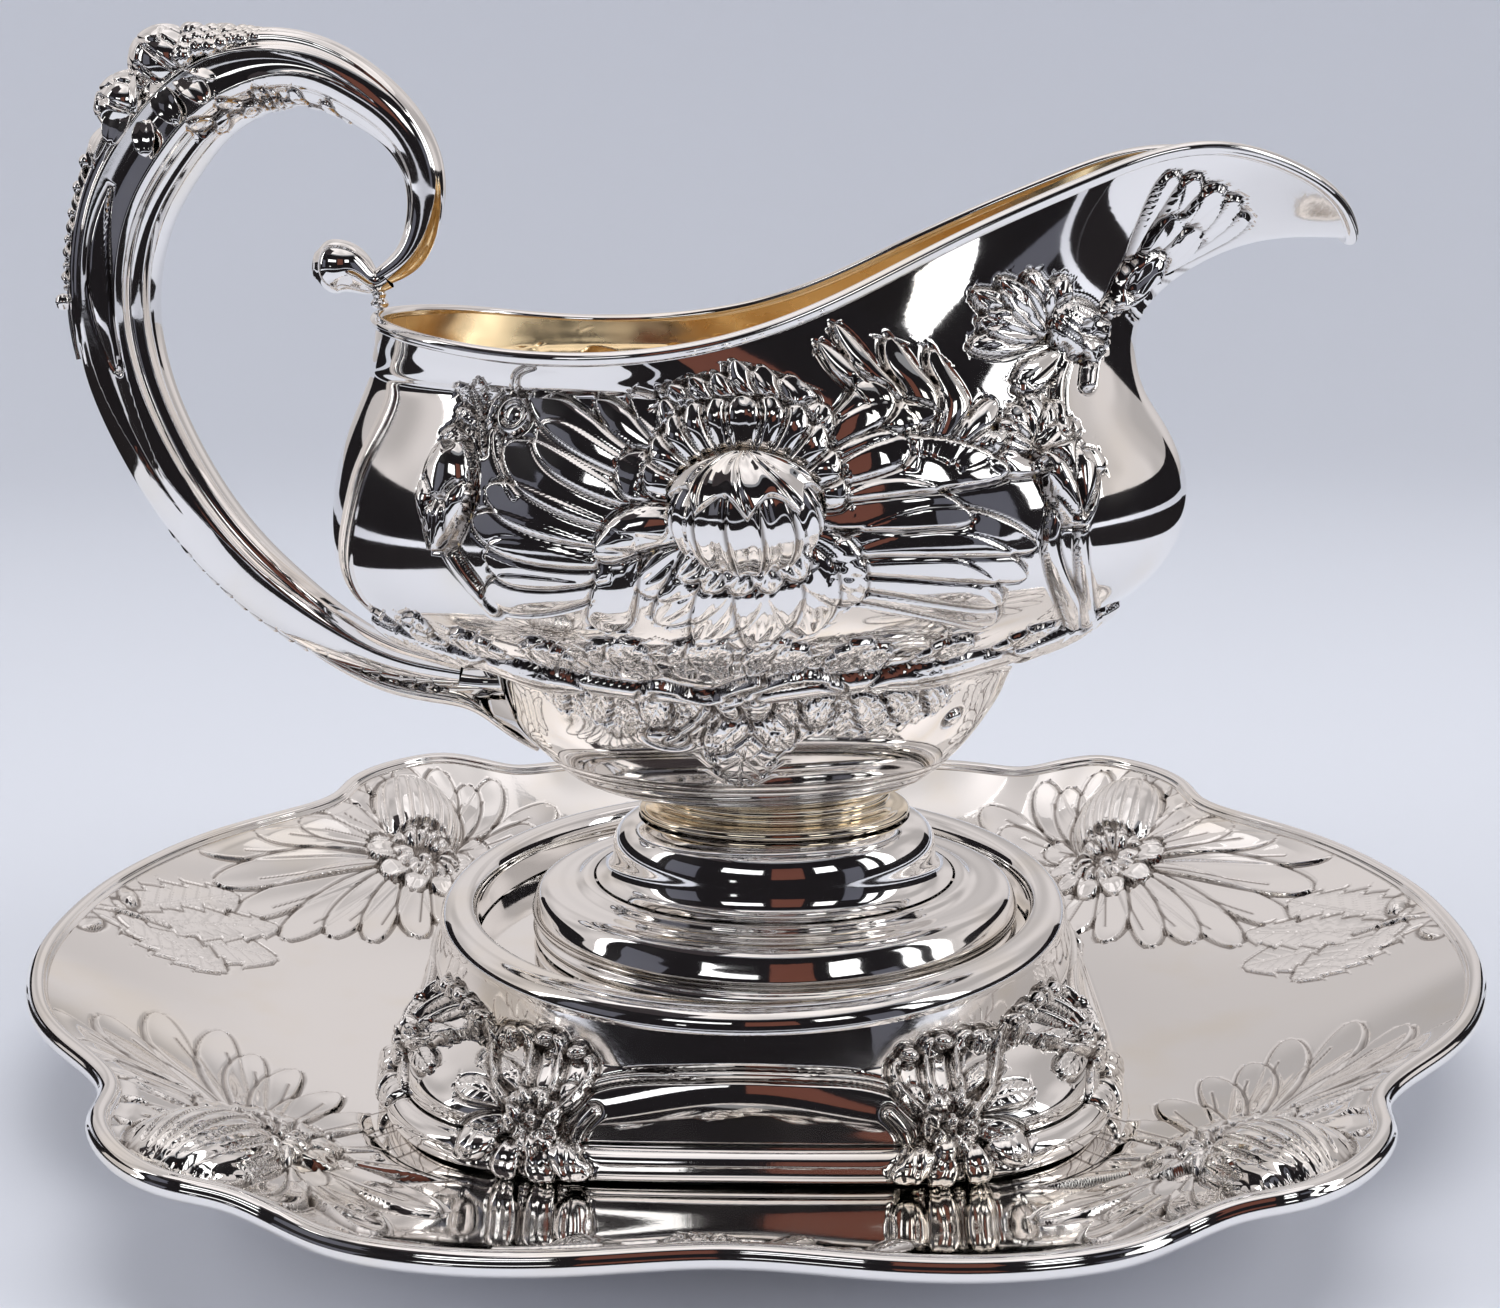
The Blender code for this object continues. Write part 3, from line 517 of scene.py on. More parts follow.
def dress(obj, body, node, material=SILVER):
    """Give the piece its looks and its body, and let it stand for a node of the frame."""
    obj.data.materials.append(material)
    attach(obj, body)
    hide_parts(node)


def add_sectors(bands, count, body, node, points, normals, painted_shade):
    """Equal parts of the way round a closed grid, one piece for each part and band of rows."""
    size = (points.shape[1] - 1) // count
    for k in range(count):
        part = slice(k * size, (k + 1) * size + 1)
        for name, rows in bands:
            shade_paint = painted_shade[rows, part]
            obj = grid_mesh(f"{name}_{k}", points[rows, part], normals[rows, part], painted_shade=shade_paint)
            dress(obj, body, node)


def add_pair(names, nodes, points, normals, painted_shade, closed):
    """A piece on the near side of the boat, and its mirror image on the far side."""
    for name, node, flip in zip(names, nodes, (1, -1)):
        mirror = np.array([1.0, flip, 1.0])
        grid, facing = (points * mirror)[:, ::flip], (normals * mirror)[:, ::flip]
        dress(grid_mesh(name, grid, facing, closed, painted_shade[:, ::flip]), "boat", node)


def lathe_grid(path, rows, columns, oval=False, centre_x=0.0):
    """A profile spun about a vertical axis, or squeezed to an oval as the foot is."""
    profile = fine_line(path, rows)
    angle = full_turn(columns)
    radius, height = profile[:, :1], profile[:, 1:] + 0 * angle
    depth = np.ones_like(height)
    if oval:
        share = np.clip((height - OVAL_LOW_Z) / (OVAL_HIGH_Z - OVAL_LOW_Z), 0, 1)
        depth = OVAL_LOW + (OVAL_HIGH - OVAL_LOW) * share
    x = centre_x + radius * np.cos(angle)
    return np.stack([x, depth * radius * np.sin(angle), height], axis=-1)


def add_lathe(name, node, body, path, rows, columns, oval=False, centre_x=0.0, look=SILVER):
    """A turned piece from its profile, as radius and height."""
    grid = lathe_grid(path, rows, columns, oval, centre_x)
    dress(grid_mesh(name, grid, grid_normals(grid, True), closed=True), body, node, look)


def tube_grid(line, radius, count, groove=None):
    """Points round a closed bar that follows the line; the first column faces up."""
    ahead = unit(np.roll(line, -1, axis=0) - np.roll(line, 1, axis=0))
    out = unit(np.cross(ahead, np.array([0.0, 0.0, 1.0])))
    up = np.cross(out, ahead)
    turn = full_turn(count)
    size = radius * (np.ones(count) if groove is None else groove(turn))
    circle = np.cos(turn)[:, None, None] * up + np.sin(turn)[:, None, None] * out
    return line + circle * size[:, None, None]


def add_tube(name, body, node, line, radius, count, groove):
    """A bar that follows a closed line, with grooves along it."""
    points = tube_grid(line, radius, count, groove)
    points = np.concatenate([points, points[:1]], axis=0)
    padded = np.concatenate([points[-2:-1], points, points[1:2]], axis=0)
    normals = grid_normals(padded, True)[1:-1]
    dress(grid_mesh(name, points[::-1], -normals[::-1], closed=True), body, node)


# ---------------------------------------------------------------- stand


def stand_outline(count):
    """Evenly spaced places along the stand's edge, mirrored from the points of one quarter."""
    pts = list(STAND_QUARTER)
    pts += [(-x, y, z) for x, y, z in STAND_QUARTER[-2::-1]]
    pts += [(-x, -y, z) for x, y, z in STAND_QUARTER[1:]]
    pts += [(x, -y, z) for x, y, z in STAND_QUARTER[-2:0:-1]]
    pts = np.array(pts)
    knots = lengths(np.vstack([pts, pts[:1]])[:, :2])
    dense = spline(knots[:-1], pts, np.linspace(0, knots[-1], 8000, endpoint=False), knots[-1])
    loop = np.vstack([dense, dense[:1]])
    along = lengths(loop[:, :2])
    wanted = np.linspace(0, along[-1], count, endpoint=False)
    return np.stack([np.interp(wanted, along, loop[:, k]) for k in range(3)], axis=1)


def inset(points, distance):
    """A closed line moved inwards, level with itself."""
    ahead = np.roll(points, -1, axis=0) - np.roll(points, 1, axis=0)
    normal = unit(np.stack([-ahead[:, 1], ahead[:, 0]], axis=1))
    moved = points.copy()
    moved[:, :2] += normal * distance
    return moved


def cushion_radius(angle, size):
    """Distance from the middle of a square with round corners, of half width size, to its edge."""
    total = np.abs(np.cos(angle)) ** CUSHION_POWER + np.abs(np.sin(angle)) ** CUSHION_POWER
    return size / total ** (1.0 / CUSHION_POWER)


def tray_grid(columns, rows):
    """The tray's slope, from the edge of the flat middle to the moulding, and the flat as one row."""
    edge = inset(stand_outline(columns), 2 * BORDER_RADIUS - 0.6)
    angle = np.arctan2(edge[:, 1], edge[:, 0])
    flat = cushion_radius(angle, PLATE_FLAT_SIZE)
    low = np.stack([flat * np.cos(angle), flat * np.sin(angle), 0 * angle + PLATE_THICK], axis=1)
    hole = low.copy()
    hole[:, :2] *= (PLATE_HOLE_RADIUS / flat)[:, None]
    share = np.linspace(0, 1, rows)[:, None, None]
    slope = low + (edge - low) * share
    rise = 0.35 * share + 0.65 * share**2.2
    slope[..., 2] = PLATE_THICK + (edge[:, 2] - PLATE_THICK) * rise[..., 0]
    return np.concatenate([hole[None], slope], axis=0)


# Flowers in the four corners of the tray, given for the corner with positive x and y:
# the tip of each petal, its width and its height at the root
CORNER_HEART = (78.0, 66.0)
CORNER_DOME = (82.0, 79.5)
CORNER_FAN = [
    ((121.0, 41.0), 8.0, 1.5), ((109.0, 23.0), 7.5, 1.2), ((115.0, 33.0), 8.0, 1.4),
    ((98.0, 22.0), 7.5, 1.2), ((43.0, 60.0), 9.0, 1.8), ((46.0, 80.0), 9.0, 1.8), ((52.0, 97.0), 8.5, 1.8),
    ((112.0, 53.0), 8.5, 2.0), ((90.0, 28.0), 7.0, 1.4), ((54.0, 50.0), 8.5, 1.6), ((82.0, 30.0), 6.5, 1.5),
    ((64.0, 42.0), 8.0, 1.8), ((73.0, 36.0), 7.0, 1.7), ((56.0, 88.0), 7.0, 1.6), ((104.0, 60.0), 7.5, 2.2),
    ((66.0, 99.0), 8.0, 2.0), ((101.0, 69.0), 8.0, 2.4), ((63.0, 66.0), 6.0, 2.0), ((66.0, 79.0), 7.0, 2.2),
    ((97.0, 79.0), 8.0, 2.4), ((72.0, 96.0), 7.5, 2.2), ((94.0, 88.0), 8.0, 2.2), ((88.0, 95.0), 8.0, 2.2),
    ((80.0, 98.0), 8.0, 2.2), ((70.0, 55.0), 5.5, 2.2), ((84.0, 54.0), 5.5, 2.2), ((90.0, 63.0), 6.0, 2.6),
    ((68.0, 72.0), 6.0, 2.6),
]


def carve_corner(relief):
    """A flower with long petals, and a ribbed dome and rings of short petals round its heart."""
    for tip, width, height in CORNER_FAN:
        relief.petal(
            CORNER_HEART, tip, width, 1.45 * height, 0.6, bend=0.05, outline=0.34,
            start=0.8, peak=0.35, end=0.3, root=0.25, fat=0.7, carry=0.2,
        )
        middle = [0.5 * (a + b) for a, b in zip(CORNER_HEART, tip)]
        near_tip = [0.2 * a + 0.8 * b for a, b in zip(CORNER_HEART, tip)]
        relief.cut([CORNER_HEART, middle, near_tip], 0.22, 0.14)
    relief.dome(CORNER_DOME, (13.0, 10.2), 8.5, turn=74.0, ribs=8, outline=0.5)
    for turn in (18.0, 48.0, 76.0, 104.0, 132.0):
        tip = around(CORNER_HEART, turn, 8.5)
        relief.petal(CORNER_HEART, tip, 5.0, 3.4, 0.3, end=0.6, outline=0.45, carry=0.55)
    for k in range(6):
        tip = around(CORNER_HEART, 172.0 + 33.0 * k, 13.0)
        relief.petal(CORNER_HEART, tip, 5.5, 3.6, 0.55, end=0.6, start=0.7, outline=0.45)
    for k in range(7):
        tip = around(CORNER_HEART, 165.0 + 30.0 * k, 7.5)
        relief.petal(CORNER_HEART, tip, 3.4, 3.4, 0.2, end=0.6, start=0.8, outline=0.4)
    relief.dome(CORNER_HEART, (2.6, 2.6), 3.6, ribs=2, outline=0.4)


# Leaves at the ends of the tray, as root, tip and width
END_LEAF = [
    ((131.0, 8.0), (97.0, 13.0), 17.0), ((127.0, 10.0), (110.0, 32.0), 13.0),
    ((126.0, 9.0), (104.0, 2.0), 12.0), ((122.0, 10.0), (100.0, 26.0), 11.0),
]


def carve_ends(relief):
    """Broad veined leaves, a stem and two small buds on the slope at one end of the tray."""
    for root, tip, width in END_LEAF:
        relief.petal(
            root, tip, width, 0.45, -1.0, saw=6, vein=3.2, outline=0.3, end=0.8, start=0.8,
            point=1.6, fat=0.45,
        )
    relief.stem([(134.0, 4.0), (130.5, 7.0), (118.0, 11.0)], 1.6, 0.8, taper=0.6)
    relief.dome((127.0, 15.0), (3.2, 1.7), 1.5, turn=60.0)
    relief.dome((129.0, 0.0), (3.0, 1.6), 1.4, turn=110.0)


def carve_side(relief):
    """A small spray of leaves on the slope at the middle of one long side."""
    relief.stem([(-34.0, 100.0), (-18.0, 94.0), (-4.0, 92.0), (10.0, 95.0), (26.0, 101.0)], 1.3, 0.7)
    for k, (x, reach) in enumerate(((-26, 9), (-18, 10), (-10, 9), (-2, 10), (6, 9), (14, 9), (21, 8))):
        side = 1 if k % 2 else -1
        relief.petal((x, 94.0), (x + 5.0, 94.0 + side * reach * 0.75), 4.2, 0.8, 0.1, vein=1.6)
    relief.blossom((-5.0, 93.0), 5.5, 8, 1.2, squash=0.8)


def tray_relief(grid):
    """Ornament on the tray, which fades out at the flat middle and under the moulding."""
    x, y = grid[..., 0], grid[..., 1]
    relief = Relief(x, y)
    for sign_x in (1, -1):
        for sign_y in (1, -1):
            relief.use(sign_x * x, sign_y * y)
            carve_corner(relief)
        relief.use(sign_x * x, y)
        carve_ends(relief)
    for sign_y in (1, -1):
        relief.use(x, sign_y * y)
        carve_side(relief)
    flat = grid[..., 2] < PLATE_THICK + 0.02
    share = np.linspace(0, 1, grid.shape[0])[:, None]
    relief.height *= ease(share * 12) * ease((1 - share) * 16) * (~flat)
    return relief


def add_tray():
    """The tray's upper face in four pieces, and its plain underside."""
    grid = tray_grid(1760, 170)[:, ::-1]
    relief = tray_relief(grid)
    top, normals = raised(grid, grid_normals(grid, True), relief.height)
    whole = [close_up(field) for field in (top, normals, relief.painted_shade)]
    add_sectors([("tray_top", slice(None))], 4, "stand", "tray_plate", *whole)
    under = tray_grid(440, 44)
    under[..., 2] -= PLATE_THICK
    obj = grid_mesh("tray_underside", under, grid_normals(under, True), closed=True)
    dress(obj, "stand", "tray_plate")


def add_border():
    """The grooved moulding round the edge of the tray."""
    line = inset(stand_outline(1400), BORDER_RADIUS)
    line[:, 2] -= 0.2

    def groove(turn):
        return 1.0 - 0.16 * line_at(turn, 5.2, 0.22) - 0.1 * line_at(turn, 0.9, 0.2)

    add_tube("tray_border", "stand", "tray_border_moulding", line, BORDER_RADIUS, 40, groove)


# Leaves and curled stems beside the panel on the foot of the drum: distance from the middle
# of the side, and height up the surface from the lower edge of the wall
DRUM_LEAVES = [
    ((33.0, 2.0), (24.5, -4.5), 4.5), ((34.0, 1.0), (31.0, -6.5), 4.5), ((36.0, 1.0), (39.0, -6.5), 4.5),
    ((36.0, 3.0), (46.5, -3.0), 4.5), ((36.0, 5.0), (48.0, 6.0), 4.5), ((34.0, 6.0), (43.0, 13.0), 4.0),
    ((33.0, 6.0), (26.5, 9.0), 3.6),
]
DRUM_TENDRILS = [
    [(34.0, 2.0), (29.0, 5.0), (25.5, 9.0), (25.0, 14.0), (27.4, 15.6)],
    [(34.0, 3.0), (31.0, 8.0), (30.0, 14.0), (31.0, 18.5), (33.2, 18.4)],
    [(35.0, 3.0), (35.5, 9.0), (35.0, 15.0), (37.0, 20.0), (39.4, 19.0)],
    [(36.0, 3.0), (40.5, 8.0), (42.0, 14.0), (44.6, 18.5), (46.8, 17.0)],
]


def carve_drum(relief):
    """Panel in the middle of one side of the foot, with a spray of scrolls at each end of it."""
    arch = [(-28.5, -4.0), (-30.0, 1.5), (-29.0, 6.0), (-24.0, 9.6), (-12.0, 11.2), (0.0, 11.6)]
    arch += [(-x, u) for x, u in arch[-2::-1]]
    relief.stem(arch, 1.5, 0.9, outline=0.3)
    for side in (1, -1):
        relief.stem([(side * 27.0, -3.0), (side * 26.6, 1.5), (side * 24.0, 5.0)], 2.2, 0.9)
        for base, tip, width in DRUM_LEAVES:
            relief.petal(
                (side * base[0], base[1]), (side * tip[0], tip[1]), width, 1.5, 0.3, vein=2.0,
                outline=0.35, bend=0.08 * side,
            )
        for points in DRUM_TENDRILS:
            relief.stem([(side * x, u) for x, u in points], 1.9, 1.6, taper=0.3, outline=0.35, carry=0.5)
            relief.dome((side * points[-1][0], points[-1][1]), (1.7, 1.5), 1.9, outline=0.35)
        relief.blossom((side * 34.0, 3.5), 5.0, 6, 2.2, turn=15.0)


def add_base_roll():
    """The roll round the foot of the drum, carved on its outer half only."""
    angle = full_turn(1800)
    radius = cushion_radius(angle, BASE_ROLL_SIZE)
    height = PLATE_THICK + BASE_ROLL_GAP + BASE_ROLL_RADIUS
    line = np.stack([radius * np.cos(angle), radius * np.sin(angle), 0 * angle + height], axis=1)
    points = tube_grid(line, BASE_ROLL_RADIUS, 48)
    points = np.concatenate([points, points[:1]], axis=0)
    normals = unit(points - line[None])
    climb = points[..., 2] - 2 * BASE_ROLL_RADIUS - PLATE_THICK - WALL_GAP
    relief = drum_relief(points, climb)
    outer = points[..., 0] * line[None, :, 0] + points[..., 1] * line[None, :, 1]
    relief.height[outer < (line[:, 0] ** 2 + line[:, 1] ** 2)[None]] = 0.0
    points = raised(points, normals, smoothed(relief.height, 1))[0][:, ::-1]
    turned = grid_normals(points, True)
    obj = grid_mesh("base_roll", points, turned, closed=True, painted_shade=relief.painted_shade[:, ::-1])
    dress(obj, "stand", "stand_base_moulding")


def drum_grid(columns, rows):
    """The drum's wall, round at its top and spreading to a square with round corners."""
    angle = full_turn(columns)
    share = np.linspace(0, 1, rows)[:, None]
    low = PLATE_THICK + WALL_GAP + 2 * BASE_ROLL_RADIUS
    top = DRUM_TOP_Z + WALL_UNDER_RING
    height = low + (top - low) * share + 0 * angle
    drop = np.clip((DRUM_SPREAD_Z - height) / (DRUM_SPREAD_Z - low), 0, 1)
    spread = 1 - (1 - drop) ** 2
    wall = DRUM_TOP_RADIUS + DRUM_LEAN * (top - height)
    radius = wall * (1 - spread) + cushion_radius(angle, DRUM_BASE_SIZE) * spread
    return np.stack([radius * np.cos(angle), radius * np.sin(angle), height], axis=-1)


def drum_relief(points, climb):
    """The same relief on each of the four sides of the drum's foot."""
    x, y = points[..., 0], points[..., 1]
    relief = Relief(x, climb)
    for across, facing in ((x, -y), (x, y), (y, -x), (y, x)):
        side = Relief(np.where(facing > np.abs(across) * 0.8, across, 1e6), climb)
        carve_drum(side)
        relief.height += side.height
        relief.painted_shade = np.maximum(relief.painted_shade, side.painted_shade)
    return relief


def add_drum():
    """The wall of the well in two pieces."""
    grid = drum_grid(1600, 110)
    step = np.linalg.norm(np.diff(grid, axis=0), axis=2)
    climb = np.concatenate([np.zeros((1, grid.shape[1])), np.cumsum(step, axis=0)], axis=0)
    relief = drum_relief(grid, climb)
    margin = ease((1 - np.linspace(0, 1, grid.shape[0])) * 12)[:, None]
    wall, normals = raised(grid, grid_normals(grid, True), relief.height * margin)
    whole = [close_up(field) for field in (wall, normals, relief.painted_shade)]
    add_sectors([("well_drum", slice(None))], 2, "stand", "well_drum", *whole)


def add_well():
    add_lathe("well_ring_turned", "well_ring", "stand", RING_PATH[::-1], 120, 480)
    floor = [(FLOOR_RADIUS, FLOOR_TOP_Z), (30.0, FLOOR_TOP_Z), (0.01, FLOOR_TOP_Z)]
    add_lathe("well_floor_disc", "well_floor", "stand", floor, 30, 200)


# ---------------------------------------------------------------- boat


def add_foot():
    for node, path, look in (
        ("foot_flange", FLANGE_PATH, SILVER), ("foot_pedestal", PEDESTAL_PATH, SILVER),
        ("foot_collar", COLLAR_PATH, WORN),
    ):
        add_lathe(f"{node}_turned", node, "boat", path, 120, 480, True, BOAT_X, look)


# The bowl's fine grid, its rows below the line of the cup, and the rows of its flat bottom
BOWL_HALF_COLUMNS = 600
BOWL_ROWS = 400
CUP_ROWS = 120
BOTTOM_ROWS = 24
# The widest ring of BOWL_LEVELS, and the heights of the ledge over the cup and of that ring
BULGE_ROW = 11
LEDGE_Z = 75.0
BULGE_Z = 104.0
# How much narrower the cup is than the bowl, and how far the lining follows the chasing
CUP_RATIO = 0.58
LINING_FOLLOWS = 0.85
# The heart of the large flower: its size, its lean in degrees and how far back it reaches
BALL_RADII = (13.0, 9.6, 10.2)
BALL_LEAN = 14.0
BALL_CUT = 3.2


def bowl_loop():
    """Control points of the bowl: rows from its bottom to the rim, columns all the way round."""
    angle = np.radians(BOWL_ANGLES)
    rows = []
    for height, left, right, width in BOWL_LEVELS:
        middle = 0.5 * (left + right)
        reach = 0.5 * (right - left)
        x = middle + reach * np.cos(angle)
        y = -width * np.sin(angle)
        rows.append(np.stack([x, y, 0 * angle + height], axis=1))
    start = rows[-1]
    rim = np.array(BOWL_RIM)
    share = np.array(SPOUT_SHARE)[:, None]
    for part, swing_x, swing_z in SPOUT_SWING:
        row = start + (rim - start) * part
        rows.append(row + share * np.array([swing_x, 0.0, swing_z]))
    return both_halves(np.array(rows), MIRROR)


def bowl_surface(half_columns, rows):
    """Fine grid over the whole bowl. The first half of the columns is the near side."""
    loop = bowl_loop()
    bulge = loop[BULGE_ROW]
    knots = lengths(np.vstack([bulge, bulge[:1]]))
    half = knots[len(BOWL_ANGLES) - 1]
    near = np.linspace(0, half, half_columns, endpoint=False)
    far = np.linspace(half, knots[-1], half_columns, endpoint=False)
    places = np.concatenate([near, far])
    rings = spline(knots[:-1], loop.transpose(1, 0, 2), places, knots[-1]).transpose(1, 0, 2)
    steps = np.linalg.norm(np.diff(loop, axis=0), axis=2).mean(1)
    levels = np.concatenate([[0.0], np.cumsum(steps)])
    return spline(levels, rings, np.linspace(0, levels[-1], rows))


# The large flower on each side of the bowl. Distances along the surface, in mm:
# across from the middle of the side towards the spout, and up from the ledge.
FLOWER_HEART = (-1.1, 40.2)
# Each petal as root, tip, width, height, scoop
LONG_PETALS = [
    ((-24.0, 26.5), (-44.0, 25.0), 7.5, 1.0, 0.3), ((-22.0, 30.0), (-44.0, 31.5), 7.5, 1.6, 0.4),
    ((13.0, 27.0), (46.0, 18.5), 7.5, 1.1, 0.4), ((13.0, 29.0), (44.0, 23.0), 7.5, 1.3, 0.45),
    ((13.0, 31.0), (46.5, 27.5), 7.5, 1.4, 0.45), ((13.0, 33.5), (47.0, 32.5), 7.5, 1.7, 0.5),
    ((-20.0, 32.0), (-47.0, 37.0), 6.5, 1.7, 0.45), ((-18.0, 35.0), (-45.0, 42.0), 6.5, 1.9, 0.45),
    ((-13.0, 37.0), (-42.5, 49.0), 8.5, 2.3, 0.55), ((-10.0, 40.0), (-37.0, 52.0), 8.0, 2.2, 0.5),
    ((-9.0, 43.0), (-40.0, 58.5), 6.5, 2.2, 0.35), ((10.0, 38.0), (35.0, 38.0), 7.5, 2.0, 0.5),
    ((10.0, 42.0), (43.0, 45.0), 9.0, 2.6, 0.45), ((-8.0, 46.0), (-27.0, 57.5), 4.5, 1.8, 0.3),
    ((8.0, 46.0), (33.0, 55.0), 6.0, 2.0, 0.4), ((7.0, 46.0), (26.0, 58.5), 6.0, 2.0, 0.4),
    ((-7.0, 47.0), (-20.0, 60.0), 5.8, 2.0, 0.6), ((9.0, 44.0), (27.0, 50.0), 6.5, 2.4, 0.4),
    ((-8.0, 41.0), (-21.5, 47.0), 8.0, 2.4, 0.4), ((-5.0, 48.0), (-14.0, 61.0), 4.6, 2.2, 0.0),
    ((-3.0, 49.0), (-9.0, 60.0), 5.0, 2.2, 0.1),
]
# Short petals round the heart, as direction in degrees, reach, width
BACK_RING = [
    (128, 22.0, 5.6), (116, 24.0, 5.8), (104, 23.5, 5.8), (92, 23.0, 6.0), (80, 25.0, 5.8), (69, 24.5, 6.2),
    (58, 24.5, 6.0), (47, 22.0, 6.0),
]
FRONT_RING = [
    (160, 17.0, 6.8), (144, 18.0, 6.4), (12, 16.5, 6.4), (27, 17.5, 6.4), (130, 18.5, 6.0), (42, 18.5, 6.2),
    (117, 18.5, 6.0), (57, 19.0, 6.0), (103, 18.0, 6.0), (72, 18.5, 6.0), (88, 18.0, 6.2),
]
LOWER_RING = [
    (-141, 21.0, 9.5), (-38, 25.0, 9.5), (-122, 23.0, 10.0), (-56, 26.0, 10.5), (-100, 24.0, 10.5),
    (-76, 25.5, 10.5), (-132, 14.5, 6.0), (-112, 14.0, 6.0), (-90, 13.5, 6.5), (-68, 14.0, 6.0),
    (-48, 14.5, 6.0),
]


def carve_flower(relief):
    """The large flower: long petals to the sides, then rings of short ones round the heart."""
    for root, tip, width, height, scoop in LONG_PETALS:
        leafy = tip[0] > 30.0
        relief.petal(
            root, tip, width, 1.15 * height, scoop, bend=0.09 if leafy else 0.03, outline=0.3, start=0.6,
            carry=0.2, point=1.5 if leafy else 2.3, fat=0.55 if leafy else 0.7,
        )
    for turn, reach, width in LOWER_RING:
        relief.petal(
            around(FLOWER_HEART, turn, 6.0), around(FLOWER_HEART, turn, reach), width,
            1.5 if reach > 18 else 2.2, 0.5, outline=0.28, fat=0.5, point=1.6, ribs=3, bend=0.07,
        )
    relief.petal((-20.5, 33.0), (-21.8, 18.8), 7.5, 1.8, 0.3, outline=0.35, fat=0.8, root=0.8)
    relief.petal((-6.0, 36.5), (-24.5, 33.0), 7.5, 3.4, -1.0, bend=-0.14, outline=0.4, end=0.9)
    for turn, reach, width in BACK_RING:
        relief.petal(
            around(FLOWER_HEART, turn, 9.0), around(FLOWER_HEART, turn, reach), width, 2.9, 0.15,
            outline=0.35, fat=0.7, carry=0.15, end=0.85,
        )
    for turn, reach, width in FRONT_RING:
        relief.petal(
            around(FLOWER_HEART, turn, 8.0), around(FLOWER_HEART, turn, reach), width, 3.7, 0.2,
            outline=0.4, fat=0.72, carry=0.1, end=0.85,
        )
    relief.dome(FLOWER_HEART, (11.5, 9.2), 3.0, outline=0.3)


# Loose petals between the large flower and the bud by the spout
SHOULDER_LEAVES = [
    ((27.0, 48.0), (20.5, 64.5), 5.0), ((27.5, 48.0), (25.5, 66.0), 4.6), ((29.0, 48.0), (33.5, 63.0), 6.5),
    ((31.0, 47.0), (40.0, 61.0), 5.0), ((32.0, 46.5), (45.0, 56.5), 4.2), ((34.0, 45.5), (45.0, 51.5), 4.0),
    ((26.0, 45.5), (26.5, 56.0), 6.0),
]


def carve_buds(relief):
    """A bud on each side of the large flower, with its stems and leaves."""
    relief.stem([(-52.5, 34.0), (-50.0, 30.0), (-47.0, 26.5), (-42.5, 21.5)], 2.6, 1.4)
    relief.petal((-52.5, 31.5), (-53.0, 50.5), 10.5, 3.9, -1.0, end=0.8, start=0.9, fat=0.5, outline=0.4)
    relief.petal((-52.0, 32.5), (-57.0, 42.5), 3.8, 3.3, 0.1, start=0.9)
    relief.petal((-52.0, 32.5), (-48.5, 42.5), 3.8, 3.3, 0.1, start=0.9)
    relief.petal((-52.0, 32.0), (-52.5, 40.0), 4.0, 3.7, 0.3, start=0.9)
    relief.petal((-52.0, 48.0), (-55.0, 52.5), 2.4, 1.0, 0.0)
    for root, tip in (
        ((-47.5, 49.0), (-50.5, 56.0)), ((-48.5, 52.0), (-55.0, 55.0)), ((-49.5, 55.0), (-57.5, 60.0)),
        ((-48.0, 51.0), (-46.0, 58.0)), ((-49.0, 54.0), (-52.5, 62.0)), ((-51.0, 50.0), (-57.0, 51.0)),
    ):
        relief.petal(root, tip, 2.6, 0.7, 0.0, vein=1.4, saw=4, point=1.6)
    relief.stem([(-47.0, 48.0), (-49.0, 53.0), (-53.0, 59.0)], 0.8, 0.5)
    relief.stem([(-39.0, 41.0), (-43.5, 47.0), (-45.0, 52.0), (-42.5, 57.5)], 1.5, 1.0)
    relief.stem([(-40.0, 66.0), (-43.2, 64.0), (-43.2, 60.0), (-42.0, 56.0)], 1.0, 0.45)
    relief.dome((-42.5, 54.5), (3.4, 3.4), 1.6, outline=0.3)
    relief.dome((-42.5, 54.5), (1.9, 1.9), 0.8, outline=0.4)

    relief.stem([(52.0, 41.0), (50.0, 33.0), (54.0, 26.0), (64.0, 18.5), (71.0, 15.0)], 3.0, 1.6)
    relief.stem([(57.0, 40.0), (56.0, 33.0), (59.0, 26.0), (68.0, 18.0), (76.0, 14.5)], 2.2, 1.4)
    relief.petal((53.5, 35.5), (55.5, 52.0), 11.5, 4.0, -1.0, end=0.85, start=0.9, fat=0.5, outline=0.4)
    relief.petal((53.5, 37.5), (58.5, 48.0), 4.4, 3.3, 0.2, start=0.9)
    relief.petal((53.0, 37.5), (50.0, 47.0), 4.4, 3.3, 0.2, start=0.9)
    for tip in ((44.0, 53.0), (41.5, 49.5), (48.0, 56.0), (53.0, 58.0), (58.0, 56.0), (61.5, 52.5)):
        relief.petal((51.0, 48.5), tip, 4.0, 1.9, 0.3)
    relief.petal((50.0, 45.0), (40.0, 46.5), 4.0, 1.6, 0.3)
    relief.petal((57.0, 46.0), (63.5, 45.0), 4.0, 1.6, 0.3)
    for base, tip, width in SHOULDER_LEAVES:
        relief.petal(base, tip, width, 2.4, 0.2, outline=0.35, fat=0.62, point=1.9)


